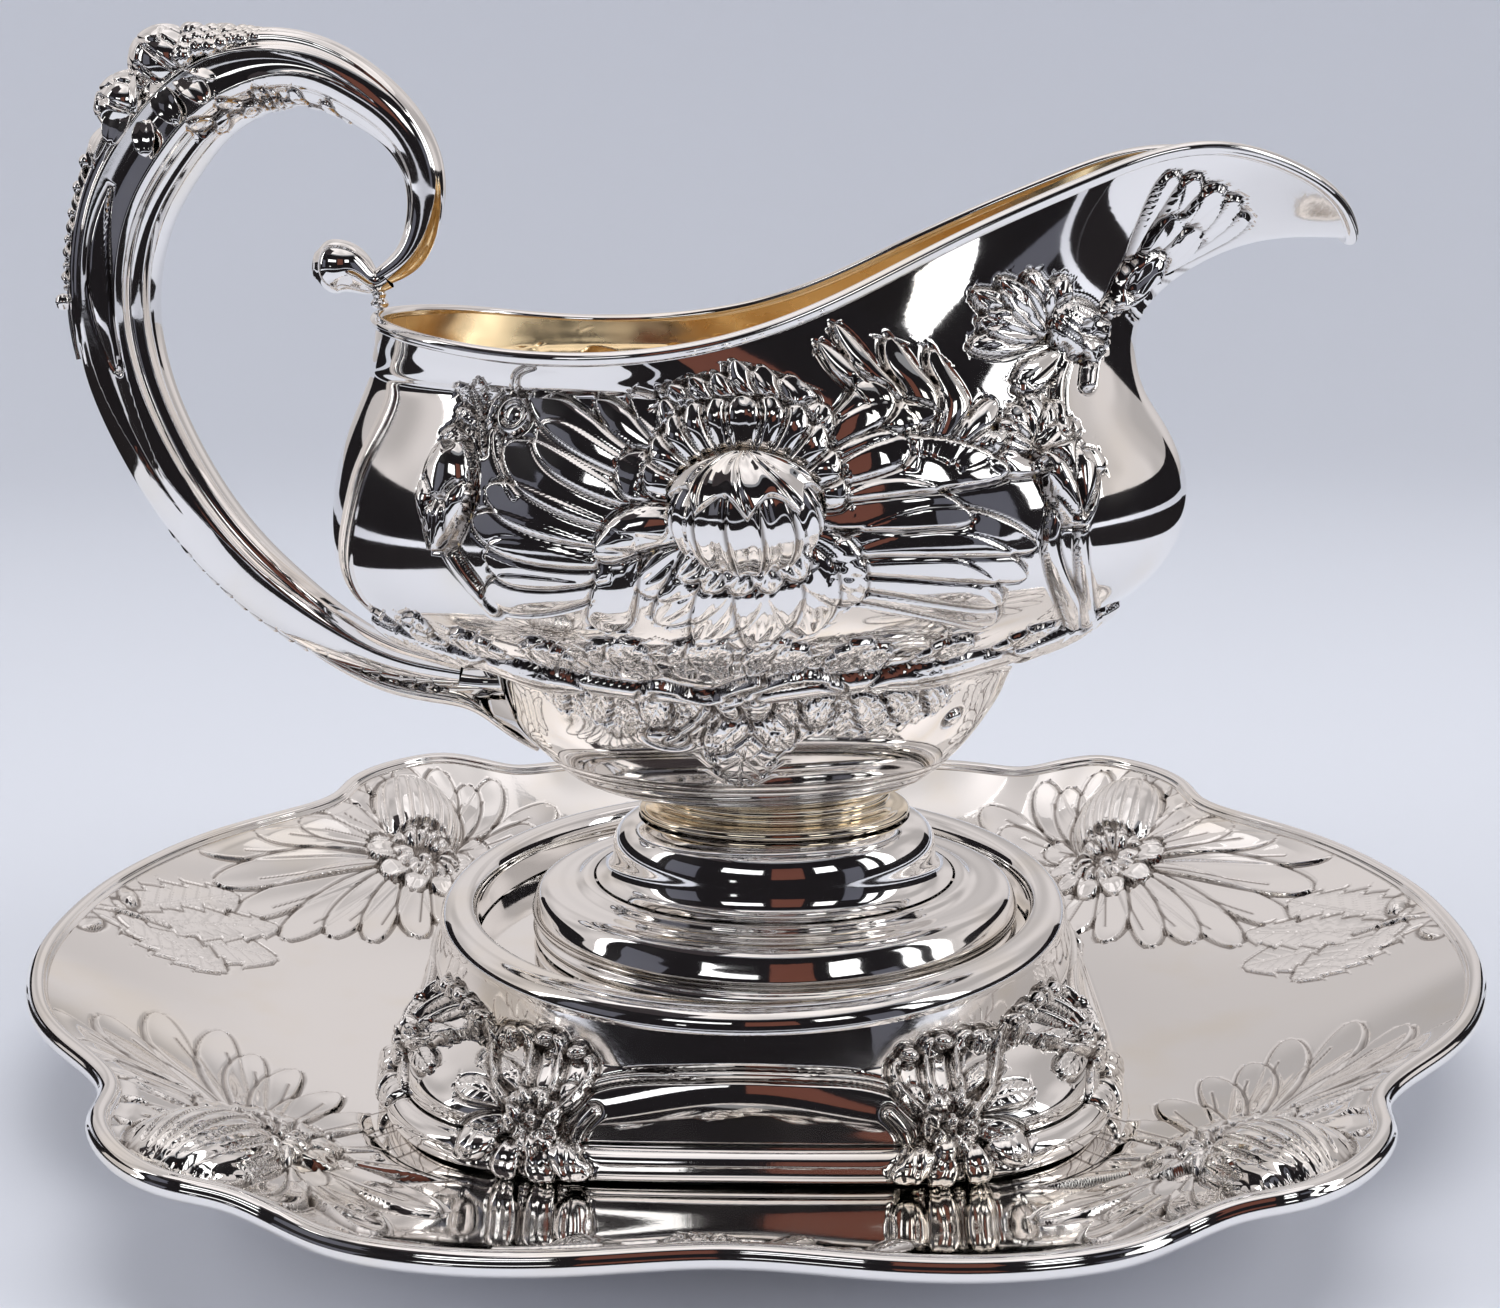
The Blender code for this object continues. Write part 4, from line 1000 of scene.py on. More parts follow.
# Leaves above the ledge: root, lean along it, rise, width
LEDGE_LEAVES = [
    (-72.0, -6.0, 9.0, 6.5), (-66.0, 5.0, 11.0, 6.5), (-60.0, -8.0, 8.0, 6.0), (-56.0, 6.0, 8.5, 6.0),
    (-46.0, -7.0, 7.5, 6.0), (-40.0, 7.0, 8.0, 6.5), (-31.0, -6.0, 7.0, 6.5), (-26.0, 6.0, 9.0, 7.0),
    (-16.0, -5.0, 9.5, 7.5), (-9.0, 4.0, 10.0, 7.5), (-1.0, -5.0, 10.5, 8.0), (5.0, 5.0, 10.0, 8.0),
    (14.0, -4.0, 8.5, 7.0), (20.0, 6.0, 9.0, 7.0), (31.0, -6.0, 7.5, 6.5), (38.0, 7.0, 8.0, 6.5),
    (48.0, -7.0, 8.0, 6.0), (55.0, 7.0, 8.0, 6.0), (65.0, -6.0, 8.5, 6.5), (73.0, 6.0, 9.0, 6.5),
]


def carve_ledge(relief):
    """Two thick stems that meet over the cup, with leaves above them."""
    for k, (x, lean, rise, width) in enumerate(LEDGE_LEAVES):
        relief.petal(
            (x, 7.0), (x + lean, 7.0 + rise), width, 1.3, 0.3, vein=2.4, saw=4, point=1.7, outline=0.35,
            bend=0.08 if k % 2 else -0.08,
        )
    relief.stem([(-78.0, 12.0), (-60.0, 7.5), (-42.0, 4.8), (-22.0, 2.0), (0.0, 0.5)], 6.5, 2.0, taper=0.5)
    relief.stem([(84.0, 13.0), (64.0, 8.0), (44.0, 6.0), (24.0, 4.6), (3.0, 1.2)], 7.0, 2.1, taper=0.5)
    relief.petal((-60.0, 5.5), (-34.0, 4.2), 8.0, 2.4, 0.0, outline=0.4, fat=0.5, point=1.5)
    relief.petal((66.0, 7.0), (30.0, 5.4), 8.0, 2.3, 0.0, outline=0.4, fat=0.5, point=1.5)
    relief.cut([(-58.0, 6.0), (-48.0, 6.2), (-38.0, 4.8)], 0.3, 0.3)
    relief.cut([(62.0, 7.6), (48.0, 7.4), (34.0, 6.0)], 0.3, 0.3)
    relief.stem([(-24.0, 1.0), (-16.0, 4.2), (-8.0, 1.0), (0.0, 4.0), (6.0, 6.5)], 1.6, 1.6, outline=0.35)
    relief.stem([(24.0, 5.0), (16.0, 7.6), (8.0, 5.2), (0.0, 1.0), (-6.0, -1.5)], 1.6, 1.5, outline=0.35)


# Petals of the flower on the lip, as tip, width, height, and ribbed leaves beside it
LIP_PETALS = [
    ((71.0, 160.0), 4.4, 1.4), ((85.5, 152.5), 4.4, 1.4), ((75.0, 159.5), 4.6, 1.8),
    ((83.0, 155.5), 4.6, 1.8), ((79.5, 157.5), 4.8, 2.2), ((72.0, 153.5), 4.6, 2.4),
    ((76.5, 151.0), 4.6, 2.4),
]
SPOUT_LEAVES = [
    ((36.5, 133.0), 4.6), ((52.5, 143.5), 4.6), ((37.0, 141.5), 4.6), ((46.5, 144.5), 5.0),
    ((38.0, 137.0), 5.0), ((41.5, 143.5), 4.6),
]


def carve_spout(relief):
    """Flowers on the flank of the lip, on the plain length and height chart."""
    relief.stem([(52.0, 119.0), (51.5, 126.0), (53.0, 131.0)], 2.0, 1.2)
    relief.stem([(57.0, 126.0), (58.5, 133.0), (61.0, 138.0), (63.5, 141.0)], 2.4, 1.4)
    for tip, width in (((86.0, 140.5), 4.5), ((80.0, 137.0), 4.5), ((73.0, 134.5), 4.5)):
        relief.petal((64.0, 141.5), tip, width, 0.35, 0.2, outline=0.3, fat=0.5, point=1.6)
    for tip, width, height in LIP_PETALS:
        relief.petal((63.5, 140.5), tip, width, height, 0.5, fat=0.78, start=0.6, outline=0.4, root=0.3)
    relief.petal((62.0, 138.0), (69.5, 147.5), 6.0, 2.9, -1.0, fat=0.45, start=0.9, ribs=2, outline=0.4)
    for tip, width in SPOUT_LEAVES:
        relief.petal((49.5, 134.5), tip, width, 2.0, 0.45, point=1.5, fat=0.55, ribs=2, outline=0.4)
    relief.dome((55.0, 135.0), (5.4, 4.6), 2.6, turn=-35.0, ribs=6, outline=0.4)
    for tip in ((60.5, 131.5), (58.5, 129.5), (61.0, 134.5)):
        relief.petal((55.0, 135.0), tip, 3.0, 2.0, 0.4, outline=0.35)
    relief.petal((52.5, 131.5), (44.0, 126.0), 5.0, 1.6, 0.4, point=1.5, ribs=2, outline=0.35)


# Leaves below the ledge: root, lean, drop, width
CUP_LEAVES = [
    (-22.0, -4.0, 6.5, 5.5), (-17.0, 3.0, 7.0, 5.5), (-12.0, -4.0, 6.5, 5.0), (-9.0, 2.0, 5.0, 4.5),
    (9.0, 3.0, 7.0, 5.5), (13.0, -3.0, 6.0, 5.0), (17.0, 4.0, 7.5, 6.0), (22.0, 5.0, 6.5, 5.5),
    (29.0, 3.0, 5.5, 4.5), (-30.0, -3.0, 5.0, 4.5),
]


def carve_cup(relief):
    """Leaves that hang from the ledge over the plain cup, on its own narrower chart."""
    for x, lean, drop, width in CUP_LEAVES:
        relief.petal(
            (x, -1.0), (x + lean, -1.0 - drop), width, 1.2, 0.3, vein=2.0, saw=4, point=1.7, outline=0.4,
            bend=0.1 if lean > 0 else -0.1,
        )
    relief.dome((-13.5, -10.0), (3.6, 1.8), 1.2, turn=-8.0, outline=0.4)
    relief.stem([(-6.0, -3.0), (-9.5, -7.5), (-13.0, -10.0)], 1.2, 0.8)
    root = (0.5, -4.0)
    relief.petal(root, (-1.0, -20.5), 13.0, 1.7, 0.35, saw=5, vein=2.6, outline=0.5, point=1.7, fat=0.5)
    for tip in ((-6.5, -12.0), (7.5, -11.5)):
        relief.petal(root, tip, 5.5, 1.4, 0.3, vein=1.8, saw=3, outline=0.45)
    relief.dome((1.5, -2.0), (2.6, 3.6), 1.8, turn=-10.0, ribs=2, outline=0.4)
    relief.dome((-3.0, -2.5), (1.8, 3.0), 1.4, turn=20.0, outline=0.4)
    relief.dome((37.0, -9.0), (1.6, 1.6), 0.9, outline=0.4)
    for depth in (-21.5, -23.0, -25.5):
        relief.cut([(-60.0, depth), (0.0, depth), (60.0, depth)], 0.28, 0.35)


def side_column(near, x):
    """The column of the grid that passes x halfway up, and how far its rows lie above the ledge."""
    column = int(np.argmin(np.abs(near[near.shape[0] // 2, :, 0] - x)))
    climb = lengths(near[:, column])
    ledge = int(np.argmin(np.abs(near[:, column, 2] - LEDGE_Z)))
    return column, climb - climb[ledge]


def bowl_relief(near):
    """Relief on the near half of the bowl; the far half has the same."""
    middle, climb = side_column(near, 0.0)
    bulge = int(np.argmin(np.abs(near[:, middle, 2] - BULGE_Z)))
    reach = lengths(near[bulge])
    reach = reach - reach[middle]
    across = np.broadcast_to(reach[None, :], near.shape[:2])
    up = np.broadcast_to(climb[:, None], near.shape[:2])
    relief = Relief(across * CUP_RATIO, up)
    carve_cup(relief)
    relief.use(across, up)
    carve_ledge(relief)
    carve_buds(relief)
    relief.use(near[..., 0], near[..., 2])
    carve_spout(relief)
    relief.use(across, up)
    carve_flower(relief)
    rows = np.linspace(0, 1, near.shape[0])[:, None]
    columns = np.linspace(0, 1, near.shape[1])[None, :]
    relief.height *= ease((1 - rows) * 25) * ease(rows * 25)
    relief.height *= ease(columns * 30) * ease((1 - columns) * 30)
    return relief


def ball_grid(rows, columns):
    """The flower's ribbed heart: incurved petals that close over its top."""
    tilt, turn = ball_angles(rows, columns)
    crease = np.abs(np.mod(turn * 14 / (2 * math.pi) + 0.12 * np.sin(2 * tilt), 1.0) - 0.5)
    low = -0.55 * line_at(crease, 0.5, 0.09) - 0.25 * np.cos(2 * math.pi * crease)
    scallop = 0.28 + 0.34 * np.abs(np.sin(4.5 * turn + 0.6))
    over = ease((tilt - scallop) / 0.07)
    crease_top = np.abs(np.mod(turn * 9 / (2 * math.pi) + 0.5 * tilt, 1.0) - 0.5)
    high = 0.75 - 0.5 * line_at(crease_top, 0.5, 0.08) - 0.2 * np.cos(2 * math.pi * crease_top)
    lift = low * (1 - over) + high * over
    x = (BALL_RADII[0] + lift) * np.cos(tilt) * np.cos(turn)
    y = (BALL_RADII[1] + lift) * np.cos(tilt) * np.sin(turn)
    z = (BALL_RADII[2] + lift) * np.sin(tilt) + 0 * turn
    edge = line_at(tilt, scallop, 0.05)
    # Painted shade darkening the creases and the edge under the top petals.
    shade_paint = np.maximum(line_at(crease, 0.5, 0.07) * (1 - over), 0.7 * edge)
    return np.stack([x, y, z], axis=-1), shade_paint


def cut_back(offset):
    """The ball, as distances from its centre, cut off flat so that it ends in the bowl's wall."""
    behind = offset[..., 1] > -BALL_CUT
    share = np.clip((offset[..., 1] + BALL_CUT) / (BALL_RADII[1] + BALL_CUT + 1.0), 0.0, 1.0)
    edge = math.sqrt(1 - (BALL_CUT / BALL_RADII[1]) ** 2)
    wide = np.hypot(offset[..., 0] / BALL_RADII[0], offset[..., 2] / BALL_RADII[2])
    shrink = np.where(behind, edge * np.sqrt(1 - share) / np.maximum(wide, 0.02), 1.0)
    offset[..., 0::2] *= np.minimum(shrink, 1.0)[..., None]
    offset[..., 1] = np.minimum(offset[..., 1], -BALL_CUT)
    return offset


def add_flower_balls(centre):
    """The heart of the flower stands well out from each side of the bowl."""
    grid, shade_paint = ball_grid(170, 420)
    lean = np.array(Matrix.Rotation(math.radians(BALL_LEAN), 3, "X"))
    grid = centre + cut_back(grid @ lean.T)
    names = ("bowl_flower_near", "bowl_flower_far")
    add_pair(names, ("bowl_shell", "bowl_shell"), grid, grid_normals(grid, True), shade_paint, True)


def with_bottom(grid, normals, up):
    """The grid and its normals, with a flat round bottom added inside its first row."""
    ring = grid[0]
    middle = ring[:-1].mean(0)
    share = np.linspace(0.002, 1.0, BOTTOM_ROWS, endpoint=False)[:, None, None]
    disc = middle + share * (ring - middle)
    flat = np.zeros_like(disc)
    flat[..., 2] = up
    return np.concatenate([disc, grid]), np.concatenate([flat, normals])


def add_lining(grid, normals, height):
    """The gilt inside, a wall's thickness in from the outside, with a soft trace of the chasing."""
    dent = smoothed(np.minimum(height, smoothed(height, 6)), 6)
    dent *= ease((1 - np.linspace(0, 1, BOWL_ROWS)) * 4)[:, None]
    inner, facing = raised(grid, normals, LINING_FOLLOWS * dent - BOWL_THICK)
    inner, facing = close_up(inner)[::2, ::3][:, ::-1], -close_up(facing)[::2, ::3][:, ::-1]
    obj = grid_mesh("bowl_lining", *with_bottom(inner, facing, 1.0))
    dress(obj, "boat", "bowl_shell", GILT)


def add_bowl():
    """The chased bowl, in quarters above and below the line of its cup, with all it carries."""
    grid = bowl_surface(BOWL_HALF_COLUMNS, BOWL_ROWS)
    normals = grid_normals(grid, True)
    near = grid[:, : BOWL_HALF_COLUMNS + 1]
    relief = bowl_relief(near)
    height = both_halves(relief.height)
    lifted, facing = raised(grid, normals, height)
    outer, facing = with_bottom(close_up(lifted), close_up(facing), -1.0)
    # Painted shade along the chased outlines, and none on the flat bottom.
    shade_paint = close_up(both_halves(relief.painted_shade))
    shade_paint = np.concatenate([np.zeros((BOTTOM_ROWS, shade_paint.shape[1])), shade_paint])
    seam = BOTTOM_ROWS + CUP_ROWS
    bands = (("bowl_cup", slice(0, seam + 1)), ("bowl_body", slice(seam, None)))
    add_sectors(bands, 4, "boat", "bowl_shell", outer, facing, shade_paint)
    add_lining(grid, normals, height)
    column, climb = side_column(near, FLOWER_HEART[0])
    level = int(np.argmin(np.abs(climb - FLOWER_HEART[1])))
    add_flower_balls(near[level, column] + np.array([0.0, 1.0, -0.8]))
    add_rim(grid[-1])


def add_rim(line):
    """The grooved wire on the bowl's edge."""

    def groove(turn):
        return 1.0 - 0.10 * line_at(turn, 1.9, 0.25) - 0.10 * line_at(turn, 4.4, 0.25)

    add_tube("bowl_rim", "boat", "rim_wire", line, RIM_RADIUS, 48, groove)


# Hollows as angle from the outer edge, half width, depth, start, end and length of the point
HANDLE_CHANNELS = [
    (0.40, 0.15, 0.06, 0.20, 0.52, 0.10), (0.84, 0.18, 0.11, 0.12, 0.62, 0.14),
    (1.48, 0.42, 0.17, 0.14, 0.74, 0.18), (1.42, 0.60, 0.10, 0.60, 1.20, 0.20),
    (2.30, 0.22, 0.10, 0.02, 0.90, 0.12),
]


def handle_grid(steps, arc):
    """Half of the handle, with the length along it and the distance round it of each point."""
    data = fine_line(HANDLE_LINE, steps)
    centre = data[:, :2]
    ahead = unit(np.gradient(centre, axis=0))
    out = np.stack([ahead[:, 1], -ahead[:, 0]], axis=1)
    turn = np.linspace(0, math.pi, arc)
    along = np.linspace(0, 1, steps)[:, None]
    shape = handle_section(along, turn[None, :])
    up = data[:, 2:3] * shape * np.cos(turn)
    across = data[:, 2:3] * HANDLE_WIDTH_RATIO * shape * np.sin(turn)
    x = centre[:, :1] + out[:, :1] * up
    z = centre[:, 1:] + out[:, 1:] * up
    return np.stack([x, -across, z], axis=-1), lengths(centre), data[:, 2:3] * turn


def handle_section(along, turn):
    """Relative radius of the section: hollows that open and close to points along the handle."""
    shape = np.ones(np.broadcast_shapes(along.shape, turn.shape))
    for angle, width, depth, start, end, lead in HANDLE_CHANNELS:
        open_up = ease((along - start) / lead) * ease((end - along) / lead)
        scoop = np.maximum(1 - ((turn - angle) / (width * open_up + 0.001)) ** 2, 0)
        shape = shape - depth * open_up * scoop
    return shape


def carve_handle(relief):
    """Leaf panel below the flowers and a spray on the inside of the bend, on a chart of
    length along the handle and distance round it from the outer edge."""
    relief.petal(
        (90.0, 11.0), (122.0, 12.4), 4.0, 0.8, 0.0, outline=0.3, fat=0.5, point=1.5, root=0.08
    )
    relief.stem([(38.0, 15.6), (50.0, 17.4), (60.0, 18.4), (72.0, 19.4)], 1.2, 0.35, taper=0.4)
    for k in range(9):
        x = 40.0 + 3.6 * k
        climb = 0.09 * (x - 42)
        side = 1 if k % 2 else -1
        relief.petal((x, 16.6 + climb), (x + 4.0, 17.0 + climb + side * 2.4), 2.6, 0.4, 0.2)
    relief.blossom((56.0, 18.0), 3.0, 6, 0.5)
    for k in range(30):
        x = 150.0 + 3.2 * k
        relief.petal((x, 2.3), (x + 3.0, 2.6 + 0.5 * math.sin(2.1 * k)), 1.5, 0.35, 0.2, outline=0.2)


def add_handle():
    """Each half of the handle is a piece of its own; they meet along its inner and outer edges."""
    half, along, round_it = handle_grid(900, HANDLE_ARC)
    whole = both_halves(half, MIRROR)
    relief = Relief(along[:, None] + 0 * round_it, round_it)
    carve_handle(relief)
    whole, normals = raised(whole, -grid_normals(whole, True), both_halves(relief.height))
    near = slice(HANDLE_ARC - 1, None, -1)
    nodes = ("handle_near_half", "handle_far_half")
    painted_shade = relief.painted_shade[:, near]
    add_pair(("handle_near", "handle_far"), nodes, whole[:, near], -normals[:, near], painted_shade, False)


# ---------------------------------------------------------------- cast ornaments


def swept(line, face, columns=20, rows=60, cup=0.0, ridge=0.0):
    """Grid round a bar through rows of (x, y, z, half width, half thickness), closed at its ends.

    Face is the direction its broad side looks in; cup hollows that side, ridge raises its middle.
    """
    pts = np.asarray(line, float)
    knots = lengths(pts[:, :3])
    data = spline(knots, pts, np.linspace(0, knots[-1], rows))
    centre = data[:, :3]
    wide = np.maximum(data[:, 3], 0.02)
    thick = np.maximum(data[:, 4], 0.02)
    ahead = unit(np.gradient(centre, axis=0))
    side = unit(np.cross(ahead, np.asarray(face, float)))
    up = np.cross(side, ahead)
    c, s = np.cos(full_turn(columns)), np.sin(full_turn(columns))
    rise = thick[:, None] * s + cup * wide[:, None] * c**2
    rise = rise + ridge * thick[:, None] * line_at(c, 0, 0.22) * (s > 0)
    return centre[:, None] + side[:, None] * (wide[:, None] * c)[..., None] + up[:, None] * rise[..., None]


# A leaf's width along it: share of its length, share of its width
LEAF_SHAPE = (
    (0.0, 0.25), (0.18, 0.62), (0.42, 0.95), (0.62, 1.0), (0.82, 0.75), (0.95, 0.38), (1.0, 0.05),
)
LEAF_THICK = 0.5


def leaf(base, tip, face, width, lift, cup=0.25):
    """A petal or leaf from base to tip that bows out by lift towards the way it faces."""
    base, tip, face = (np.asarray(v, float) for v in (base, tip, face))
    face = face / np.linalg.norm(face)
    line = []
    for t, size in LEAF_SHAPE:
        spot = base + (tip - base) * t + face * lift * 4 * t * (1 - t)
        line.append((*spot, 0.5 * width * size, LEAF_THICK * (0.3 + 0.7 * size)))
    return swept(line, face, 20, 26, cup, 0.5)


def turned_ball(centre, radii, axis, hint, size, tilt, turn):
    """A closed ball with the given relative size at each tilt and turn about its axis."""
    axis = unit(np.asarray(axis, float))
    other = unit(np.cross(axis, np.array(hint)))
    third = np.cross(axis, other)
    a, b, c = radii
    grid = (a * size * np.cos(tilt) * np.cos(turn))[..., None] * other
    grid = grid + (b * size * np.cos(tilt) * np.sin(turn))[..., None] * third
    grid = grid + (c * size * np.sin(tilt))[..., None] * axis
    return grid + np.asarray(centre, float)


def bead(centre, radius, axis, lobes):
    """A small lobed floret, a little flat."""
    tilt, turn = ball_angles(12, 20)
    size = radius * (1 - 0.14 * np.cos(lobes * turn) ** 2 * np.cos(tilt))
    return turned_ball(centre, (1.0, 1.0, 0.85), axis, (0.31, 0.95, 0.07), size, tilt, turn)


def ribbed_ball(centre, radii, axis, ribs, cover=0.3):
    """A closed flower head: incurved petals in creased segments under a smaller top layer."""
    tilt, turn = ball_angles(70, 180)
    crease = np.abs(np.mod(turn * ribs / (2 * math.pi) + 0.10 * np.sin(2 * tilt), 1.0) - 0.5)
    over = ease((tilt - cover - 0.3 * np.abs(np.sin(3.0 * turn))) / 0.08)
    top_crease = np.abs(np.mod(turn * 6 / (2 * math.pi) + 0.4 * tilt, 1.0) - 0.5)
    lift = over * (0.07 - 0.08 * line_at(top_crease, 0.5, 0.1))
    size = 1 - 0.10 * line_at(crease, 0.5, 0.10) * (1 - over) + lift
    return turned_ball(centre, radii, axis, (0.0, 1.0, 0.0), size, tilt, turn)


def join(name, grids, node):
    """One piece from several closed grids, each turned so that its normals point outwards."""
    parts = []
    for k, grid in enumerate(grids):
        normals = grid_normals(grid, True)
        if np.sum(normals * (grid - grid.mean(axis=1, keepdims=True))) < 0:
            grid = grid[:, ::-1]
            normals = grid_normals(grid, True)
        parts.append(grid_mesh(f"{name}_{k}", grid, normals, closed=True))
    bpy.ops.object.select_all(action="DESELECT")
    for part in parts:
        part.select_set(True)
    bpy.context.view_layer.objects.active = parts[0]
    if len(parts) > 1:
        bpy.ops.object.join()
    parts[0].name = name
    dress(parts[0], "boat", node)


def add_scroll_end():
    """The ball that the handle's scroll ends in, and the beads between it and the rim."""
    line = [
        (-77.62, 0, 144.85, 0.02, 0.02), (-77.45, 0, 144.8, 1.2, 1.2), (-76.9, 0, 144.75, 2.5, 2.5),
        (-75.6, 0, 144.7, 3.9, 3.9), (-73.4, 0, 144.6, 4.75, 4.75), (-71.4, 0, 144.2, 4.5, 4.5),
        (-69.6, 0, 143.3, 3.7, 3.6), (-67.9, 0, 142.3, 2.8, 2.7), (-66.2, 0, 141.9, 2.1, 2.0),
        (-64.4, 0, 142.6, 2.0, 2.0),
    ]
    join("handle_scroll_end", [swept(line, (0, 1, 0), 64, 90)], "handle_scroll_ball")
    path = [
        (0.02, 137.2), (1.1, 137.3), (1.6, 138.2), (1.05, 139.1),
        (1.25, 139.6), (0.95, 140.4), (1.1, 141.2), (0.9, 142.0),
    ]
    join("handle_seat_beads", [lathe_grid(path, 60, 48, centre_x=-66.0)], "handle_rim_beads")


def add_foot_plate():
    """Leaf-shaped strap from the under side of the handle down the end of the cup."""
    line = [
        (-90.0, 0, 80.4, 0.4, 0.2), (-84.5, 0, 76.6, 2.6, 0.7), (-77.0, 0, 72.0, 4.4, 1.1),
        (-67.5, 0, 67.8, 5.6, 1.3), (-58.0, 0, 66.0, 7.0, 1.4), (-51.5, 0, 64.6, 8.0, 1.4),
        (-46.6, 0, 60.8, 6.5, 1.2), (-42.6, 0, 57.2, 3.6, 0.9), (-40.4, 0, 55.0, 0.6, 0.4),
    ]
    web = [
        (-60.0, 0, 69.5, 2.6, 3.2), (-54.0, 0, 68.6, 3.0, 3.4), (-48.5, 0, 68.4, 3.6, 3.6),
        (-45.5, 0, 68.4, 3.6, 3.8),
    ]
    face = (-0.35, 0.0, -1.0)
    join("handle_strap", [swept(line, face, 48, 120, -0.12), swept(web, face, 48, 40)], "handle_foot_plate")


# Cast flowers on the handle's shoulder. Leaves, for the near side, as base, tip, facing, width,
# lift; beads as centre, radius, facing.
BUD_LEAVES = [
    ((-98.0, 3.5, 179.5), (-90.6, 6.6, 176.4), (0.3, 1, 0.8), 5.0, 1.0),
    ((-98.5, 5.0, 177.5), (-92.0, 8.0, 172.4), (0.2, 1, 0.5), 4.6, 0.9),
    ((-102.0, 5.0, 176.0), (-97.0, 8.3, 169.0), (-0.2, 1, 0.3), 4.6, 0.9),
    ((-105.5, 4.0, 177.0), (-104.5, 7.6, 171.0), (-0.7, 1, 0.3), 4.2, 0.8),
]
SIDE_BUD_LEAVES = [
    ((-106.8, 3.0, 174.8), (-112.4, 5.2, 170.6), (-0.6, 1, 0.6), 4.4, 0.9),
    ((-106.0, 5.0, 172.5), (-109.6, 7.4, 165.6), (-0.3, 1, 0.1), 4.8, 1.0),
    ((-110.0, 3.5, 169.5), (-113.8, 4.8, 163.0), (-0.9, 0.8, 0.2), 4.2, 0.8),
    ((-103.5, 6.0, 170.5), (-103.0, 8.8, 163.5), (0.0, 1, 0.2), 4.0, 0.8),
]
SIDE_BUD_BEADS = [
    ((-107.6, 6.6, 169.0), 1.5, (-0.4, 1, 0.0)), ((-112.6, 3.4, 166.4), 1.4, (-0.9, 0.4, 0.0)),
]
SPRIG_LEAF = [((-95.5, 1.5, 183.4), (-86.5, 3.0, 183.2), (0, 0.3, 1), 3.6, 0.6)]
FLORETS = 64
FLORET_BEND = 7.8
# Middle line of the trail down the outer edge of the handle, as x and z
TRAIL = [(-114.6, 166.5), (-117.6, 159.0), (-120.0, 151.2), (-121.3, 144.0), (-121.8, 137.0), (-120.8, 128.5)]


def on_side(point, side):
    """A point of the near side, or its mirror image when side is -1."""
    return (point[0], side * point[1], point[2])


def side_leaves(table, side):
    return [
        leaf(on_side(base, side), on_side(tip, side), on_side(face, side), width, lift)
        for base, tip, face, width, lift in table
    ]


def add_handle_flowers():
    """A round flower, a half open one beside it, and florets over the top of the handle."""
    grids = [ribbed_ball((-100.9, 0.0, 179.3), (6.3, 6.4, 6.2), (-0.72, 0.0, 0.69), 11)]
    grids += side_leaves(BUD_LEAVES, 1) + side_leaves(BUD_LEAVES, -1)
    join("handle_bud", grids, "handle_flower_bud")

    grids = [ribbed_ball((-107.8, 0.0, 172.2), (6.0, 8.2, 5.4), (-0.86, 0.0, 0.5), 8, 0.5)]
    for side in (1, -1):
        grids += side_leaves(SIDE_BUD_LEAVES, side)
        for centre, radius, face in SIDE_BUD_BEADS:
            grids.append(bead(on_side(centre, side), radius, on_side(face, side), 4))
    grids.append(leaf((-111.5, 0.0, 168.0), (-116.2, 0.0, 161.0), (-1, 0, 0.3), 4.4, 0.8))
    join("handle_half_open_bud", grids, "handle_side_bud")

    grids = []
    for k in range(FLORETS):
        t = k / (FLORETS - 1)
        turn = math.radians(72.0 - 56.0 * t) * math.sin(2.4 * k + 0.5)
        x = -97.0 + 16.0 * t + 0.6 * math.cos(3.1 * k)
        crest = 184.1 + 1.1 * math.sin(math.pi * min(0.15 + 0.6 * t, 1.0)) - 1.2 * t
        centre = (x, FLORET_BEND * math.sin(turn), crest - FLORET_BEND * (1 - math.cos(turn)))
        grids.append(bead(centre, 1.9 - 0.6 * t, (0.1, math.sin(turn), math.cos(turn)), 5))
    grids += side_leaves(SPRIG_LEAF, 1) + side_leaves(SPRIG_LEAF, -1)
    join("handle_florets", grids, "handle_floret_sprig")


def add_leaf_trail():
    """Leaves and berries that run down the outer edge of the handle and thin to a stem."""
    fine = fine_line(TRAIL, 101)
    core = [(x, 0.0, z, 0.9 - 0.12 * k, 0.9 - 0.12 * k) for k, (x, z) in enumerate(TRAIL)]
    grids = [swept(core, (-1, 0, 0))]
    for k, (x, z) in enumerate(fine[:61:6]):
        side = 1 if k % 2 else -1
        size = 1.0 - 0.055 * k
        root = (x, side * 0.5, z)
        tip = (x + 1.2, side * (1.8 + 3.4 * size), z - 5.0 * size)
        grids.append(leaf(root, tip, (-1, side * 0.5, 0.1), 4.0 * size, 0.8, 0.2))
        grids.append(bead((x - 0.6, -side * 1.9 * size, z - 1.5), 1.5 * size, (-1, -side * 0.6, 0), 5))
        grids.append(bead((x - 0.8, side * 0.7, z - 3.0), 1.2 * size, (-1, 0, 0), 4))
    x, z = fine[74]
    grids.append(bead((x - 1.0, -0.8, z), 1.6, (-1, 0, 0), 3))
    for side in (1, -1):
        ends = enumerate(fine[60:101:10])
        stem = [(x + 0.2, side * (0.4 + 0.35 * k), z, 0.45, 0.45) for k, (x, z) in ends]
        grids.append(swept(stem, (-1, 0, 0), 12, 40))
    join("handle_trail", grids, "handle_leaf_trail")


# ---------------------------------------------------------------- studio


